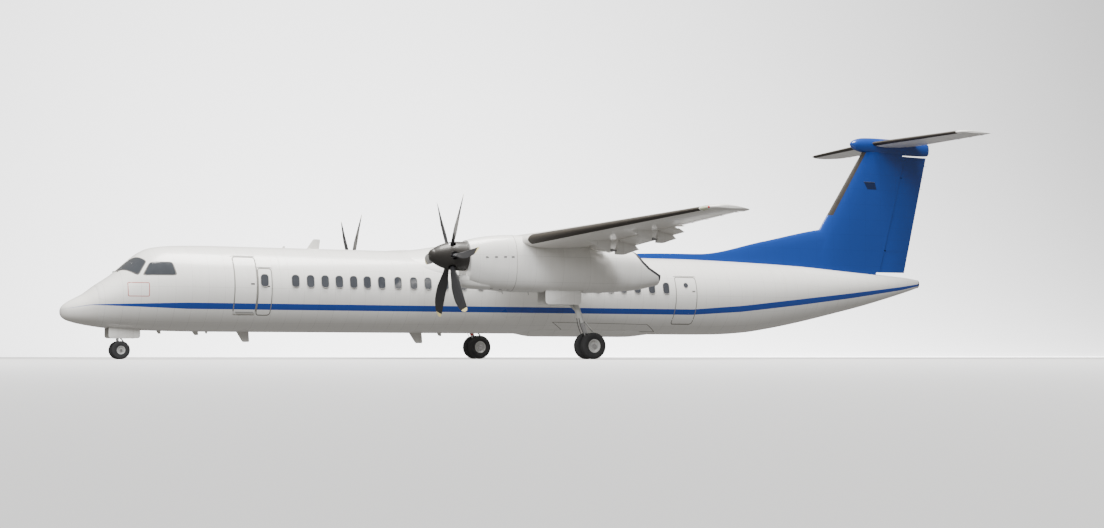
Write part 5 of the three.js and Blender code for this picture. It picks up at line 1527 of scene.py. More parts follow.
def rudder_hinge(level):
    """A point of the hinge line at a level, and the line's direction."""
    low, high = place(mix(30310, 30880, (RUDDER[0][0] - 700) / 1950), 0, RUDDER[0][0]), place(31800, 0, 5800)
    axis = (high - low).normalized()
    return low + axis * ((level - RUDDER[0][0]) / 1000 / axis.z), axis


def on_fin_boot(point):
    station, _, level = read_place(point)
    return FIN_BOOT[0] < level < FIN_BOOT[1] and fin_share(station, level) < FIN_BOOT_DEPTH


def build_fin():
    marks = sorted({700, *spaced(2650, 5800, 300), *spaced(900, 2650, 350), *FIN_BOOT})
    fin = loft("fin_skin", [fin_ring(level) for level in marks])
    rings = []
    for station, top, half in rows_of(DORSAL, 120):
        side = [(0.2 * half, top - 8), (0.42 * half, top - 45), (0.6 * half, top - 110),
                (0.82 * half, top - 240), (half, top - 400), (1.35 * half, 900), (1.35 * half, 800)]
        ring = [(0, top), *side, *((-y, level) for y, level in reversed(side))]
        rings.append([place(station, y, max(level, 800)) for y, level in ring])
    cut(fin, loft("dorsal_skin", rings), operation="UNION")
    dress(fin, FIN_PAINT, replaced=["fin"], sharp=28)
    paint_where(fin, DEICING_BOOT, on_fin_boot)

    for side_name, side in SIDES:
        rings = []
        for level in spaced(RUDDER[0][0], RUDDER[1][0], 600):
            _, _, hinge, half = straight_row(FIN, level)
            front, edge = hinge - FIN_GAP, FIN_FULLNESS[-1] * half
            rings.append([place(station, side * y, level) for station, y in (
                (front - 15, edge), (front + SHROUD_REACH, edge - 5),
                (front + SHROUD_REACH, edge - 9), (front - 15, edge - 6))])
        dress(loft(f"rudder_shroud_{side_name}", rings), FIN_PAINT)

    rudder = loft("rudder_skin", [surface_ring(rudder_hinge(level)[0], *straight_row(RUDDER, level)[1:], PORT)
                                  for level in spaced(RUDDER[0][0], RUDDER[1][0], 450)])
    lugs, slots, pins = zip(*[bracket_pair(*rudder_hinge(level), straight_row(RUDDER, level)[1], 235)
                              for level in RUDDER_BRACKETS])
    cut(rudder, *slots)
    dress(rudder, RUDDER_PAINT, "rudder", ["rudder"])
    dress(merged("rudder_pins", pins), FITTING, "rudder")
    dress(merged("rudder_lugs", lugs), FITTING)
    spots = [(rudder_hinge(level)[0] + AFT * (straight_row(RUDDER, level)[2] / 1000), AFT, UP)
             for level in RUDDER_WICKS]
    dress(repeated("rudder_wicks", wick_unit(), spots, SEALANT), SEALANT, "rudder")


build_fin()


# Tailplane: one riveted surface on top of the fin, with boots along both leading edges and an
# elevator on each side; the joint with the fin is covered by a bullet-shaped fairing.
TAILPLANE = (  # y, leading station, chord, share of the thickness
    (0, 30020, 2130, 1),
    (4400, 30590, 1480, 1),
    (4635, 30850, 1150, 0.5),
)
TAIL_CURVE = 4400
TAIL_LEVEL = 5930
TAIL_THICKNESS = 0.11
TAIL_SPAR, ELEVATOR_HINGE = 0.62, 0.68
ELEVATOR = (600, 4330)
ELEVATOR_BRACKETS = (1050, 3880)
BULLET = (  # station, half width, top level, bottom level
    (29205, 36, 5912, 5858),
    (29230, 80, 5960, 5810),
    (29300, 145, 6015, 5735),
    (29480, 195, 6090, 5650),
    (29800, 228, 6145, 5590),
    (30300, 240, 6160, 5565),
    (31600, 215, 6150, 5565),
    (32450, 145, 6095, 5570),
    (32825, 112, 6052, 5598),
    (32840, 98, 6040, 5612),
)
TAIL_BOOT = (150, 4200)
TAIL_BOOT_DEPTH = 0.07
TAIL_PAINT = painted_skin("tailplane_paint", OFF_WHITE, 0.6, 0.55, across="y", stain=0.1)
BULLET_PAINT = painted_skin("bullet_blue_paint", FIN_BLUE, 0.8, 40.0, gloss=0.24, stain=0.0)


def tail_plan(y):
    """Leading station, chord and thickness at a distance from the middle."""
    _, leading, chord, share = straight_row(TAILPLANE, y)
    return leading, chord, TAIL_THICKNESS * share


def tail_point(y, side, aft, up):
    leading, chord, _ = tail_plan(y)
    return place(leading + aft * chord, side * y, TAIL_LEVEL + up * chord)


def on_tail_boot(point):
    station, y, _ = read_place(point)
    leading, chord, _ = tail_plan(min(abs(y), TAIL_CURVE))
    return TAIL_BOOT[0] < abs(y) < TAIL_BOOT[1] and (station - leading) / chord < TAIL_BOOT_DEPTH


def tail_ring(mark):
    """A section of the tailplane; the marks run from one tip to the other."""
    y, side = abs(mark), -1 if mark < 0 else 1
    leading, chord, thickness = tail_plan(y)
    if y > TAIL_CURVE:
        sweep = 1 - math.sqrt(1 - ((y - TAIL_CURVE) / (TAILPLANE[-1][0] - TAIL_CURVE)) ** 2)
        _, leading, chord, share = (mix(a, b, sweep) for a, b in zip(*TAILPLANE[1:]))
        thickness = TAIL_THICKNESS * share
    steps = sorted({*chord_steps(), TAIL_BOOT_DEPTH}, reverse=True)
    return [place(leading + at * chord, side * y, TAIL_LEVEL + sign * half_thickness(at, thickness) * chord)
            for sign, shares in ((1, steps), (-1, reversed(steps[:-1]))) for at in shares]


def build_tailplane():
    marks = (0, 600, 1050, 2000, 2900, 3880, TAIL_CURVE, 4480, 4550, 4600, 4635)
    tail = loft("tailplane_skin", [tail_ring(mark) for mark in (*(-y for y in reversed(marks[1:])), *marks)])
    for _, side in SIDES:
        cut(tail, loft("elevator_space", [[tail_point(y, side, aft, up) for aft, up in
                                           ((TAIL_SPAR, -0.3), (TAIL_SPAR, 0.3), (1.2, 0.3), (1.2, -0.3))]
                                          for y in (ELEVATOR[0] - 15, ELEVATOR[1] + 15)]))
    dress(tail, TAIL_PAINT, replaced=["tailplane"])
    paint_where(tail, DEICING_BOOT, on_tail_boot)
    for side_name, side in SIDES:
        ends = [tail_point(y, side, ELEVATOR_HINGE, 0) for y in ELEVATOR]
        hang_surface("elevator", side_name, side, ends, ELEVATOR, ELEVATOR_HINGE, lambda y: tail_plan(y)[1:],
                     ELEVATOR_BRACKETS, 3, (2400, ELEVATOR[1]))
    bullet = loft("bullet_shell", [oval_ring(station, 0, top, bottom, half_width, 32, 2)
                                   for station, half_width, top, bottom in rows_of(BULLET, 70)])
    dress(bullet, BULLET_PAINT, replaced=["bullet_fairing"])


build_tailplane()


# Landing gear legs: painted forgings with a chromed sliding piston in each, cross tubes on the walls
# of the bays and folding drag struts. Torque links, brake pipes and bolts are fixed to them.
NOSE_AXLE, MAIN_AXLE = 1810, 15750
NOSE_STEER = 1750
NOSE_TYRE = {"radius": 280, "width": 170, "rim": 130, "offset": 190}
MAIN_TYRE = {"radius": 420, "width": 250, "rim": 215, "offset": 235}
NOSE_AXLE_LEVEL = NOSE_TYRE["radius"] - CENTRELINE
MAIN_AXLE_LEVEL = MAIN_TYRE["radius"] - CENTRELINE
MAIN_HEAD = (14900, 420)
MAIN_BRACE = (14130, 330)
GEAR_PAINT = painted_metal("gear_paint", (0.60, 0.60, 0.58, 1), 0.38)
CHROME = metal_material("piston_chrome", (0.80, 0.80, 0.82, 1), 0.12)
HOSE_RUBBER = rubber_material("hose_rubber", (0.035, 0.035, 0.037, 1), 0.5)
LAMP_LENS = glass_material("lamp_lens", (0.55, 0.56, 0.57, 1), 0.08)
LAMP_OUT, LAMP_LEVEL = 95, -1270
BRAKE_PIPE = (  # share of the leg, share of the distance from its middle, distance ahead in metres
    (0.60, 1.2, 0.085),
    (0.70, 1.4, 0.125),
    (0.85, 1.6, 0.115),
    (1, 1.35, 0.07),
)


def rounded_bar(name, start, end, width, height, across, edge=0.008):
    """A bar of rectangular section; its width lies along the direction given; sizes in mm."""
    way = (end - start).normalized()
    aside = (across - way * way.dot(across)).normalized()
    return bevelled(bar(name, start, end, aside * (width / 2000), aside.cross(way) * (height / 2000)), edge)


def hose(name, spots, radius):
    """A round hose through the spots given, drawn along a smooth line; radius in mm."""
    padded = [2 * spots[0] - spots[1], *spots, 2 * spots[-1] - spots[-2]]
    line = []
    for a, b, c, d in zip(padded, padded[1:], padded[2:], padded[3:]):
        for t in (k / 6 for k in range(6)):
            line.append(0.5 * (2 * b + (c - a) * t + (2 * a - 5 * b + 4 * c - d) * t * t
                               + (3 * b - a - 3 * c + d) * t ** 3))
    line.append(spots[-1])
    rings = []
    first = (line[1] - line[0]).orthogonal().normalized()
    for k, point in enumerate(line):
        way = (line[min(k + 1, len(line) - 1)] - line[max(k - 1, 0)]).normalized()
        first = (first - way * way.dot(first)).normalized()
        second = way.cross(first)
        rings.append([point + (first * c + second * s) * (radius / 1000) for c, s in circle(10)])
    return loft(name, rings)


def torque_links(name, top, middle, bottom, width):
    """Two arms that meet at a knuckle, with a pin at each end; places in metres, width in mm."""
    half = PORT * (width + 18) / 2000
    parts = [rounded_bar("link", low, high, width, 34, PORT) for low, high in ((bottom, middle), (middle, top))]
    parts += [rod("pin", spot - half, spot + half, 0.016, 16) for spot in (top, middle, bottom)]
    return merged(name, parts)


def upright(name, station, low, high, radius):
    """A round part that stands on the middle line between two levels."""
    return rod(name, place(station, 0, low), place(station, 0, high), radius, 40)


def wall_tube(station, level, radius, wall, y=0):
    """A tube from wall to wall of a bay; its radius in metres, the rest in mm."""
    return rod("tube", place(station, y - wall, level), place(station, y + wall, level), radius, 32)


def build_nose_leg():
    wall, brace = NOSE_BAY["half"] - 0.3, (NOSE_BAY["rear"] - 80, -830)
    leg = merged("nose_leg_forging", [
        upright("cylinder", NOSE_STEER, -1500, NOSE_BAY["roof"] - 0.3, 0.07),
        upright("gland", NOSE_STEER, -1500, -1440, 0.076),
        upright("strap", NOSE_STEER, -1120, -1090, 0.078),
        wall_tube(NOSE_STEER, -860, 0.045, wall),
        rod("strut", place(NOSE_STEER, 0, -1280), place(brace[0], 0, brace[1]), 0.028, 24),
        wall_tube(*brace, 0.026, wall),
    ])
    dress(leg, GEAR_PAINT, replaced=["nose_leg"])
    lights, lenses = [], []
    for y in (-LAMP_OUT, LAMP_OUT):
        arm_end, back, glass, front = (place(NOSE_STEER - ahead, y, LAMP_LEVEL) for ahead in (66, 62, 117, 122))
        lights.append(rod("lamp", back, place(NOSE_STEER - 118, y, LAMP_LEVEL), 0.055, 32, 0.068))
        lights.append(rounded_bar("arm", place(NOSE_STEER, 0, LAMP_LEVEL), arm_end, 26, 26, UP, 0.004))
        lenses.append(rod("lens", glass, front, 0.062, 32, 0.056))
    dress(merged("taxi_lamp_housings", lights), GEAR_PAINT)
    dress(merged("taxi_lamp_lenses", lenses), LAMP_LENS)

    axle = place(NOSE_AXLE, 0, NOSE_AXLE_LEVEL)
    steering = merged("nose_steering_forging", [
        upright("collar", NOSE_STEER, -1560, -1500.3, 0.066),
        rod("boss", axle - PORT * 0.058, axle + PORT * 0.058, 0.058, 40),
        rounded_bar("arm", place(NOSE_STEER, 0, NOSE_AXLE_LEVEL + 118), axle, 90, 84, PORT, 0.014),
        bevelled(box_object("tow", place(NOSE_STEER - 110, -45, NOSE_AXLE_LEVEL - 20),
                            place(NOSE_STEER, 45, NOSE_AXLE_LEVEL + 60)), 0.006),
    ])
    dress(steering, GEAR_PAINT, "nose_steering", ["nose_steering_leg"])
    piston = upright("nose_piston", NOSE_STEER, NOSE_AXLE_LEVEL + 60, -1300, 0.042)
    dress(piston, CHROME, "nose_steering")
    spots = ((72, -1530), (190, -1660), (95, NOSE_AXLE_LEVEL + 72))
    links = torque_links("nose_torque_links", *(place(NOSE_STEER + aft, 0, level) for aft, level in spots), 46)
    dress(links, GEAR_PAINT, "nose_steering")


build_nose_leg()


def build_main_legs():
    wall = WHEEL_WELL["half"] - 0.3
    for side_name, side in SIDES:
        y = side * NACELLE_Y
        head, foot = place(MAIN_HEAD[0], y, MAIN_HEAD[1]), place(MAIN_AXLE, y, MAIN_AXLE_LEVEL)

        def partway(share, across=0, aft=0):
            return head.lerp(foot, share) + PORT * across + AFT * aft

        pad = box_object("pad", place(MAIN_AXLE - 50, y - 45, MAIN_AXLE_LEVEL - 110),
                         place(MAIN_AXLE + 50, y + 45, MAIN_AXLE_LEVEL))
        leg = merged(f"main_leg_forging_{side_name}", [
            rod("cylinder", head, partway(0.66), 0.092, 40),
            rod("gland", partway(0.63), partway(0.66), 0.098, 40),
            rod("strap", partway(0.34), partway(0.35), 0.098, 40),
            wall_tube(*MAIN_HEAD, 0.07, wall, y),
            wall_tube(*MAIN_BRACE, 0.045, wall, y),
            rod("brace", partway(0.52), place(MAIN_BRACE[0], y, MAIN_BRACE[1]), 0.045, 24),
            rod("boss", foot - PORT * 0.088, foot + PORT * 0.088, 0.078, 40),
            bevelled(pad, 0.006),
        ])
        dress(leg, GEAR_PAINT, replaced=[f"main_leg_{side_name}"])
        piston = rod(f"main_piston_{side_name}", partway(0.655), partway(0.955), 0.066, 40)
        dress(piston, CHROME)
        links = torque_links(f"main_torque_links_{side_name}", partway(0.645, 0, 0.105), partway(0.80, 0, 0.29),
                             partway(0.965, 0, 0.085), 80)
        dress(links, GEAR_PAINT)
        pipes = [hose("pipe", [partway(share, out * across, -ahead) for share, out, ahead in BRAKE_PIPE], 11)
                 for across in (-0.06, 0.06)]
        dress(merged(f"brake_pipes_{side_name}", pipes), HOSE_RUBBER)


build_main_legs()


# Wheels: twin wheels on each axle, forged rims in two halves held by a circle of bolts, with
# bias-ply tyres whose tread has plain grooves all round. Each pair turns with its own axle.
TYRE_RUBBER = rubber_material("tyre_rubber", (0.030, 0.030, 0.031, 1), 0.8)
RIM_METAL = painted_metal("rim_paint", (0.66, 0.66, 0.65, 1), 0.35, 0.25)
BOLT_METAL = metal_material("bolt_metal", (0.55, 0.55, 0.56, 1), 0.3)


def wheel_turned(name, profile, axle, sides=72):
    """A closed profile of (radius, across) in mm, turned about an axle along Y."""
    return loft(name, [[axle + Vector((radius * s, across, radius * c)) / 1000 for radius, across in profile]
                       for c, s in circle(sides)], closed=True)


def tyre_profile(size):
    """From bead to bead with round shoulders and three grooves in the tread."""
    radius, rim, half = size["radius"], size["rim"], size["width"] / 2
    side = rounded_row([(rim, 0.8 * half), (0.5 * (radius + rim), half), (0.92 * radius, 0.88 * half),
                        (radius - 1, 0.55 * half), (radius, 0.34 * half)], 0.14 * radius, 5)
    wide, deep = 0.030 * half + 2, 0.018 * radius
    tread = [(radius - fall, middle * half + across * wide) for middle in (0.30, 0, -0.30)
             for fall, across in ((0, 1), (deep, 0.7), (deep, -0.7), (0, -1))]
    return [*side, *tread, *((r, -across) for r, across in reversed(side))]


def rim_profile(size, axle_radius, outward):
    """One forged rim: flanges at both beads and a dished outer face; across runs outward."""
    rim, half = size["rim"] - 0.3, 0.36 * size["width"]
    inner, hub = axle_radius - 1, axle_radius * 1.9
    return [(radius, outward * half * share) for radius, share in (
        (inner, 0.42), (axle_radius * 1.75, 0.42), (hub, 0.30), (0.70 * rim, 0.36), (0.78 * rim, 0.52),
        (0.84 * rim, 0.93), (0.88 * rim, 1), (rim, 1), (rim, -1), (0.86 * rim, -1), (0.82 * rim, -0.8),
        (hub, -0.8), (inner, -0.8))]


def build_wheel_pair(body, size, middle, axle_radius, tyre_nodes, rim_node, bolts):
    """Tyres, rims, hub caps and axle of one pair, about its own middle."""
    rims, caps, spots = [], [], []
    half = 0.36 * size["width"]
    offset = PORT * (size["offset"] / 1000)
    for number, (way, tyre_node) in enumerate(zip((1, -1), tyre_nodes), 1):
        centre, out = middle + offset * way, PORT * way
        tyre = wheel_turned(f"{body}_tyre_{number}", tyre_profile(size), centre)
        dress(tyre, TYRE_RUBBER, body, [tyre_node], sharp=50)
        rims.append(wheel_turned("rim", rim_profile(size, axle_radius, way), centre))
        cap = ((0, half + 12), (1.25, half + 12), (1.6, half + 4), (1.7, half * 0.4), (0, half * 0.4))
        caps.append(wheel_turned("cap", [(axle_radius * reach, across * way) for reach, across in cap],
                                 centre, 48))
        for c, s in circle(bolts, 0.5):
            up = Vector((s, 0, c))
            spots.append((centre + up * (0.62 * size["rim"] / 1000) + out * (half * 0.33 / 1000), out, up))
    axle = rod("axle", middle - offset, middle + offset, axle_radius / 1000, 32)
    dress(merged(f"{body}_rims", [*rims, axle]), RIM_METAL, body, [rim_node], sharp=35)
    dress(merged(f"{body}_hub_caps", caps), CHROME, body)
    bolt = merged("unit", [rod("nut", (0, 0, -0.004), (0, 0, 0.010), 0.011, 6),
                           rod("stud", (0, 0, 0.008), (0, 0, 0.016), 0.006, 10)])
    dress(repeated(f"{body}_bolts", bolt, spots, BOLT_METAL), BOLT_METAL, body)


def build_wheels():
    build_wheel_pair("nose_wheels", NOSE_TYRE, place(NOSE_AXLE, 0, NOSE_AXLE_LEVEL), 28,
                     ("nose_tyre_left", "nose_tyre_right"), "nose_wheel_rims", 8)
    for side_name, side in SIDES:
        order = ("outboard", "inboard")[::side]
        middle = place(MAIN_AXLE, side * NACELLE_Y, MAIN_AXLE_LEVEL)
        build_wheel_pair(f"main_wheels_{side_name}", MAIN_TYRE, middle, 42,
                         [f"main_tyre_{way}_{side_name}" for way in order], f"main_wheel_rims_{side_name}", 12)


build_wheels()


# Gear doors: stiff sheet panels with rounded lower corners, painted like the skin. They hang open
# against the walls of their bays, beside the legs, while the aeroplane stands.
DOOR_SHEET = 25
DOOR_SKIN = painted_skin("gear_door_paint", OFF_WHITE, 0.46, 40.0, gloss=0.24, stain=0.16)


def gear_door(name, front, rear, wall, inward, top, bottom, round_low, replaced):
    """A thin plate with rounded lower corners, whose outer face lies at the wall given."""
    outline = rounded_row([(front, top), (front, bottom), (rear, bottom), (rear, top)], round_low, 6)
    made = loft(name, [[place(station, y, level) for station, level in outline]
                       for y in (wall + inward * DOOR_SHEET, wall)])
    dress(bevelled(made, 0.004, 60), DOOR_SKIN, replaced=[replaced])


def build_gear_doors():
    for side_name, side in SIDES:
        gear_door(f"nose_door_sheet_{side_name}", NOSE_BAY["front"] + 20, NOSE_BAY["rear"] - 20,
                  side * (NOSE_BAY["half"] - 0.3), -side, -1185, -1560, 90, f"nose_door_{side_name}")
        for way_name, way in (("outboard", side), ("inboard", -side)):
            wall = side * NACELLE_Y + way * (WHEEL_WELL["half"] - 0.3)
            gear_door(f"main_door_sheet_{way_name}_{side_name}", WHEEL_WELL["front"] + 20,
                      WHEEL_WELL["rear"] - 20, wall, -way, 60, -480, 130, f"main_door_{way_name}_{side_name}")


build_gear_doors()


# Aerials and lamps: blade aerials of moulded glass fibre stand on the crown and the keel, and the
# position lamps sit under clear covers at the wing tips, with red beacons above and below.
BLADE_AERIALS = {  # front, rear, level of the root, level of the tip, sweep back
    "belly_front": (5460, 5880, -1320, -1660, 120),
    "crown": (7760, 8190, 1320, 1660, 140),
    "belly_middle": (11310, 11780, -1320, -1680, 140),
}
SMALL_AERIALS = (  # the same, four on the keel and two on the crown
    (2925, 3075, -1305, -1415, 40),
    (4045, 4255, -1325, -1450, 50),
    (4455, 4545, -1325, -1400, 20),
    (12315, 12485, -1330, -1440, 40),
    (6945, 7055, 1330, 1410, 20),
    (19510, 19690, 1330, 1440, 60),
)
AERIAL_PAINT = painted_metal("aerial_paint", (0.66, 0.65, 0.62, 1), 0.32)
RED_LENS = glass_material("red_lens", (0.42, 0.012, 0.010, 1), 0.1)
GREEN_LENS = glass_material("green_lens", (0.010, 0.22, 0.06, 1), 0.1)
CLEAR_LENS = glass_material("tip_lens", (0.46, 0.48, 0.34, 1), 0.05)


def blade_aerial(name, front, rear, root, tip, sweep, half_width, taper):
    """Pointed ovals, level with the ground, that shrink from the root to the tip."""
    rings = []
    for t in (k / 8 for k in range(9)):
        shrink = mix(1, taper, t) * (1 if t < 1 else 0.86)
        middle, half_length = (front + rear) / 2 + sweep * t, (rear - front) / 2 * shrink
        rings.append([place(middle + half_length * c, half_width * shrink * math.copysign(abs(s) ** 1.3, s),
                            mix(root, tip, t)) for c, s in circle(20)])
    return loft(name, rings)


def build_beacons():
    for name, station, level, out in (("crown_beacon", 13900, 1555, 1), ("keel_beacon", 13600, -1338, -1)):
        base = rod(name + "_base", *(place(station, 0, level + rise * out) for rise in (-8, 14)), 0.075, 40)
        dress(base, AERIAL_PAINT)
        rings = []
        for turn in (math.radians(10 * k) for k in range(9)):
            reach, rise = 62 * math.cos(turn), level + out * (13.5 + 70 * math.sin(turn))
            rings.append([place(station + reach * c, reach * s, rise) for c, s in circle(32)])
        dress(loft(name + "_lens", rings), RED_LENS)


def build_tip_lamps():
    shares = (0.09, 0.06, 0.035, 0.018, 0.006, 0.001)
    front = [*((at, 1) for at in shares), *((at, -1) for at in reversed(shares))]
    for side_name, side in SIDES:
        rings = []
        for y, proud in ((13640, -4), (13646, 1.5), *((13650 + 30 * k, 2) for k in range(10)),
                         (13944, 1.5), (13950, -4)):
            _, chord, _, thickness = wing_plan(y)
            rings.append([wing_point(y, side, at - proud / chord * (1 - at / shares[0]),
                                     camber_line(at) + sign * (half_thickness(at, thickness) + proud / chord))
                          for at, sign in front])
        dress(loft(f"tip_lamp_{side_name}", rings), CLEAR_LENS, sharp=60)
        bulb = wing_point(13990, side, 0.03, camber_line(0.03))
        rings = []
        for turn in (math.radians(t) for t in range(-85, 86, 17)):
            reach = math.cos(turn)
            rings.append([bulb + Vector((0.045 * reach * c, side * 0.05 * math.sin(turn), 0.035 * reach * s))
                          for c, s in circle(20)])
        lens = RED_LENS if side > 0 else GREEN_LENS
        dress(loft(f"tip_bulb_{side_name}", rings), lens, sharp=60)


def build_aerials():
    for name, row in BLADE_AERIALS.items():
        dress(blade_aerial("aerial_" + name, *row, 22, 0.55), AERIAL_PAINT)
    small = [blade_aerial("small", *row, 11, 0.6) for row in SMALL_AERIALS]
    dress(merged("small_aerials", small), AERIAL_PAINT)


build_aerials()
build_beacons()
build_tip_lamps()


# Probes, ports and marks: heated pitot tubes and vanes of bare metal, flush static plates, and one
# thin red border on each side that stays blank inside. Rubber seals run round the doors and the
# belly panel.
MARK_RED = painted_metal("mark_red", (0.42, 0.035, 0.022, 1), 0.4)
SEAL_WIDTH, BAND_PROUD = 28, 1.6
BELLY_PANEL = ((16150, -960), (19850, -1010), (20350, -1255), (16750, -1255))


def hull_loop(name, front, rear, bottom, top, side, width, corner):
    """A closed flat band on the hull round an opening, outside the edges given; sizes in mm."""
    outline = []
    for k in range(4):
        middle = Vector((front + corner if k in (0, 3) else rear - corner,
                         bottom + corner if k in (0, 1) else top - corner))
        turns = (math.radians(180 + 90 * k + 15 * j) for j in range(7))
        outline += [(middle, Vector((math.cos(turn), math.sin(turn)))) for turn in turns]
    rings = []
    for (middle, way), (next_middle, next_way) in zip(outline, outline[1:] + outline[:1]):
        count = max(1, round((next_middle - middle).length / 120))
        for t in (j / count for j in range(count)):
            spot, off = middle.lerp(next_middle, t), way.lerp(next_way, t)
            inner, outer = spot + off * corner, spot + off * (corner + width)
            rings.append([skin_point(*edge, side, rise) for edge, rise in (
                (inner, -4), (inner, BAND_PROUD), (outer, BAND_PROUD), (outer, -4))])
    return loft(name, rings, closed=True)


def build_nose_fittings():
    for side_name, side in SIDES:
        probes = []
        for station, level in ((1480, -230), (1700, -330)):
            foot, normal = on_skin(station, level, side, -4)
            elbow = foot + normal * 0.085
            probes.append(rod("strut", foot, elbow, 0.013, 16, 0.009))
            probes.append(rod("tube", elbow + AFT * 0.03, elbow - AFT * 0.17 + normal * 0.01, 0.009, 16, 0.007))
        foot, normal = on_skin(1980, -20, side, -3)
        probes.append(rod("hub", foot, foot + normal * 0.02, 0.03, 24))
        tip = foot + normal * 0.07 + AFT * 0.06
        probes.append(rounded_bar("vane", foot + normal * 0.018, tip, 34, 5, AFT, 0.001))
        dress(merged(f"nose_probes_{side_name}", probes), FITTING)
        plates = []
        for station in (2980, 3200):
            foot, normal = on_skin(station, -420, side, -3)
            plates.append(rod("plate", foot, foot + normal * 0.0045, 0.055, 28))
        dress(merged(f"static_plates_{side_name}", plates), FITTING)
        dress(hull_loop(f"placard_border_{side_name}", 1830, 2420, -285, 105, side, 19, 26), MARK_RED)


def build_door_seals():
    front, rear, bottom, top, _ = AIRSTAIR.values()
    out, corner = SEAT_GAP + 1 + SEAL_WIDTH / 2, DOOR_CORNER + 1 + SEAL_WIDTH / 2
    crown = top + out - corner
    risers = [mix(bottom + 90, crown - 20, k / 14) for k in range(15)]
    arcs = [(middle + corner * math.cos(math.radians(angle)), crown + corner * math.sin(math.radians(angle)))
            for middle, start in ((front - out + corner, 180), (rear + out - corner, 90))
            for angle in range(start, start - 91, -15)]
    spots = [*((front - out, level) for level in risers), *arcs,
             *((rear + out, level) for level in reversed(risers))]
    loops = [strip_on_hull("loop", spots, SEAL_WIDTH, BAND_PROUD, 1)]
    edge = PLUG_EDGE + 1
    for front, rear, bottom, top, side in PLUG_DOORS.values():
        loops.append(hull_loop("loop", front - edge, rear + edge, bottom - edge, top + edge, side,
                               SEAL_WIDTH, DOOR_CORNER + edge))
    dress(merged("door_seals", loops), SEAL_RUBBER)


def build_belly_panel():
    spots = []
    for start, end in zip(BELLY_PANEL, BELLY_PANEL[1:] + BELLY_PANEL[:1]):
        spots += [(mix(start[0], end[0], k / 12), mix(start[1], end[1], k / 12)) for k in range(12)]
    for side_name, side in SIDES:
        strips = [strip_on_hull("strip", ends, 14, BAND_PROUD, side)
                  for ends in zip(spots, spots[1:] + spots[:1])]
        dress(merged(f"belly_panel_border_{side_name}", strips), SEAL_RUBBER)


build_nose_fittings()
build_door_seals()
build_belly_panel()


# Tail fittings: the auxiliary power unit's steel exhaust pipe ends the cone, with a near-black disc in its
# mouth as painted shade for the hollow pipe; a flush air inlet on each side of the fin is drawn as a dark navy
# patch, painted shade for its opening; and wicks and a small aerial stand on the bullet fairing.
# Dark navy paint for the fin inlet: painted shade for its opening, darker than the fin's blue.
INLET_PAINTED_SHADE = painted_metal("inlet_painted_shade", (0.002, 0.010, 0.050, 1), 0.6)
TAIL_CAP = metal_material("tail_cap", (0.085, 0.078, 0.068, 1), 0.5)
PIPE = (  # station, share of the cone's last section
    (32080, 0.80), (32080, 1.06), (32120, 1.055), (32251, 1.0), (32290, 0.97), (32294, 0.90), (32285, 0.84),
    (32160, 0.80),
)


def build_tail_fittings():
    _, crown, keel, half, _ = hull_row(32250)
    middle, reach = (crown + keel) / 2, (crown - keel) / 2

    def section(station, share, sides):
        return [place(station, half * share * c, middle + reach * share * s) for c, s in circle(sides)]

    dress(loft("power_unit_pipe", [section(*spot, 48) for spot in PIPE], closed=True), TAIL_CAP)
    # A near-black disc in the pipe's mouth: painted shade for the hollow of the pipe.
    dress(loft("power_unit_plug", [section(station, 0.82, 40) for station in (32200, 32255)]), PAINTED_SHADE_BLACK)

    for side_name, side in SIDES:
        def skin(station, level, out):
            return fin_skin(fin_share(station, level), level, side, out)

        rings = []
        for t in (k / 8 for k in range(9)):
            level, front, rear = mix(4190, 4460, t), mix(29850, 29690, t), mix(30280, 30200, t)
            stations = [mix(front, rear, j / 8) for j in range(9)]
            rings.append([*(skin(station, level, 3) for station in stations),
                          *(skin(station, level, -6) for station in reversed(stations))])
        # The patch is painted shade: a dark navy sheet where the inlet's opening would be in shade.
        dress(loft(f"fin_inlet_{side_name}", rings), INLET_PAINTED_SHADE)
        lip = [rod("lip", skin(start, 4462, 2), skin(start + 52, 4462, 2), 0.006, 8)
               for start in range(29690, 30200, 51)]
        dress(merged(f"fin_inlet_lip_{side_name}", lip), FITTING)

    aerial = rod("bullet_aerial", place(30400, 0, 6150), place(30425, 0, 6270), 0.010, 12, 0.006)
    dress(aerial, AERIAL_PAINT)
    spots = [(place(32800, 60 * way, level), Vector((-0.9, 0.35 * way, 0)), UP)
             for level in (5985, 5680) for way in (1, -1)]
    dress(repeated("bullet_wicks", wick_unit(), spots, SEALANT), SEALANT)


build_tail_fittings()


# Nacelle fittings: a near-black rim round the exhaust mouth, painted shade for the dark inside of the opening,
# steel drain masts below, latches on the cowling, and the rubber joint ring between cowling and shell.
def on_nacelle(station, share, y, out):
    """A point at a share of a turn round the nacelle, from its outboard side upwards."""
    _, top, bottom, half = nacelle_row(station)
    c, s = math.cos(math.tau * share), math.sin(math.tau * share)
    return place(station, y + math.copysign(abs(c) ** 0.8, c) * (half + out),
                 (top + bottom) / 2 + math.copysign(abs(s) ** 0.8, s) * ((top - bottom) / 2 + out))


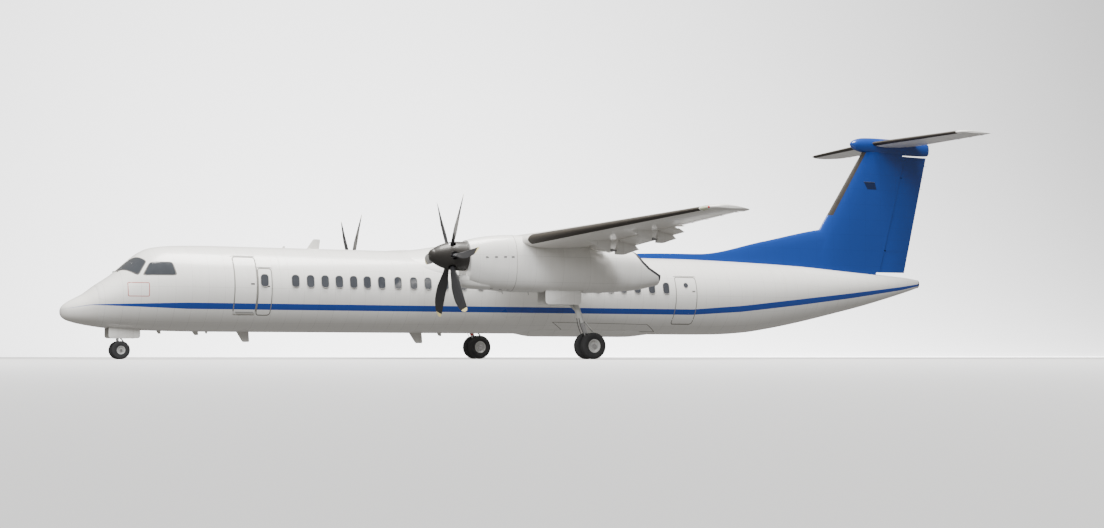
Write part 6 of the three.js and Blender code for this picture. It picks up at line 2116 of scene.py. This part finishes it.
def build_nacelle_fittings():
    limit = EXHAUST_CUT[:7]
    ahead = [(station - 75, level - 45) for station, level in reversed(limit)]
    outline = [*limit, (18300, 380), (18300, 300), *ahead]
    for side_name, side in SIDES:
        y = side * NACELLE_Y
        # A near-black band round the exhaust mouth: painted shade for the dark inside of the opening.
        rim = nacelle_body(f"exhaust_rim_{side_name}", y, 17150, NACELLE[-1][0], -2.5)
        band = loft("band", [[place(station, y + across, level) for station, level in outline]
                             for across in (-700, 700)])
        cut(rim, nacelle_body("inner", y, 17100, NACELLE[-1][0] + 40, 1))
        cut(rim, band, operation="INTERSECT")
        dress(rim, PAINTED_SHADE_BLACK)

        rings = [[on_nacelle(COWL_JOINT + along, k / 96, y, out)
                  for along, out in ((-6, -3), (-6, 1.2), (6, 1.2), (6, -3))] for k in range(96)]
        dress(loft(f"cowl_joint_{side_name}", rings, closed=True), SEAL_RUBBER)

        spots = []
        for station in (11900, 12200, 12500, 12760):
            for share in (0.02, 0.48, 0.80, 0.70):
                point = on_nacelle(station, share, y, 0)
                spots.append((point, on_nacelle(station, share, y, 20) - point, -AFT))
        latch = bevelled(box_object("unit", (-0.022, -0.05, -0.006), (0.022, 0.05, 0.003)), 0.002)
        dress(repeated(f"cowl_latches_{side_name}", latch, spots, FITTING), FITTING)

        masts = []
        for station in (12600, 13500):
            bottom = nacelle_row(station)[2]
            top, foot = place(station, y + 120, bottom + 20), place(station + 25, y + 120, bottom - 95)
            masts.append(rod("mast", top, foot, 0.013, 16, 0.009))
        dress(merged(f"drain_masts_{side_name}", masts), FITTING)


build_nacelle_fittings()


# Engines: one plain block on each side stands for the gas turbine and its gearbox, in the bare
# metal of their casings; the cowling hides it but for what shows through the shaft's opening.
ENGINE_METAL = metal_material("engine_casing", (0.36, 0.36, 0.37, 1), 0.4)


def build_engines():
    for side_name, _ in SIDES:
        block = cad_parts[f"engine_{side_name}"]
        block.data.materials.clear()
        block.data.materials.append(ENGINE_METAL)


build_engines()


# Linings: pale moulded panels line the vestibule and the inside of the airstair, and the nose bay
# is sprayed with the same primer as the wheel wells.
def build_linings():
    def in_vestibule(point):
        station, y, level = read_place(point)
        return (AIRSTAIR["front"] - 8 < station < AIRSTAIR["rear"] + 8 and y > 90
                and math.hypot(y, level) < BARREL_RADIUS - 12)

    def in_nose_bay(point):
        station, y, level = read_place(point)
        return (NOSE_BAY["front"] - 1 < station < NOSE_BAY["rear"] + 1 and abs(y) < NOSE_BAY["half"] + 1
                and level < NOSE_BAY["roof"] + 1)

    forward = bpy.data.objects["forward_barrel"]
    paint_where(forward, LINING, in_vestibule)
    paint_where(forward, WELL_PAINT, in_nose_bay)
    paint_where(bpy.data.objects["airstair_door_leaf"], LINING, in_vestibule)


build_linings()
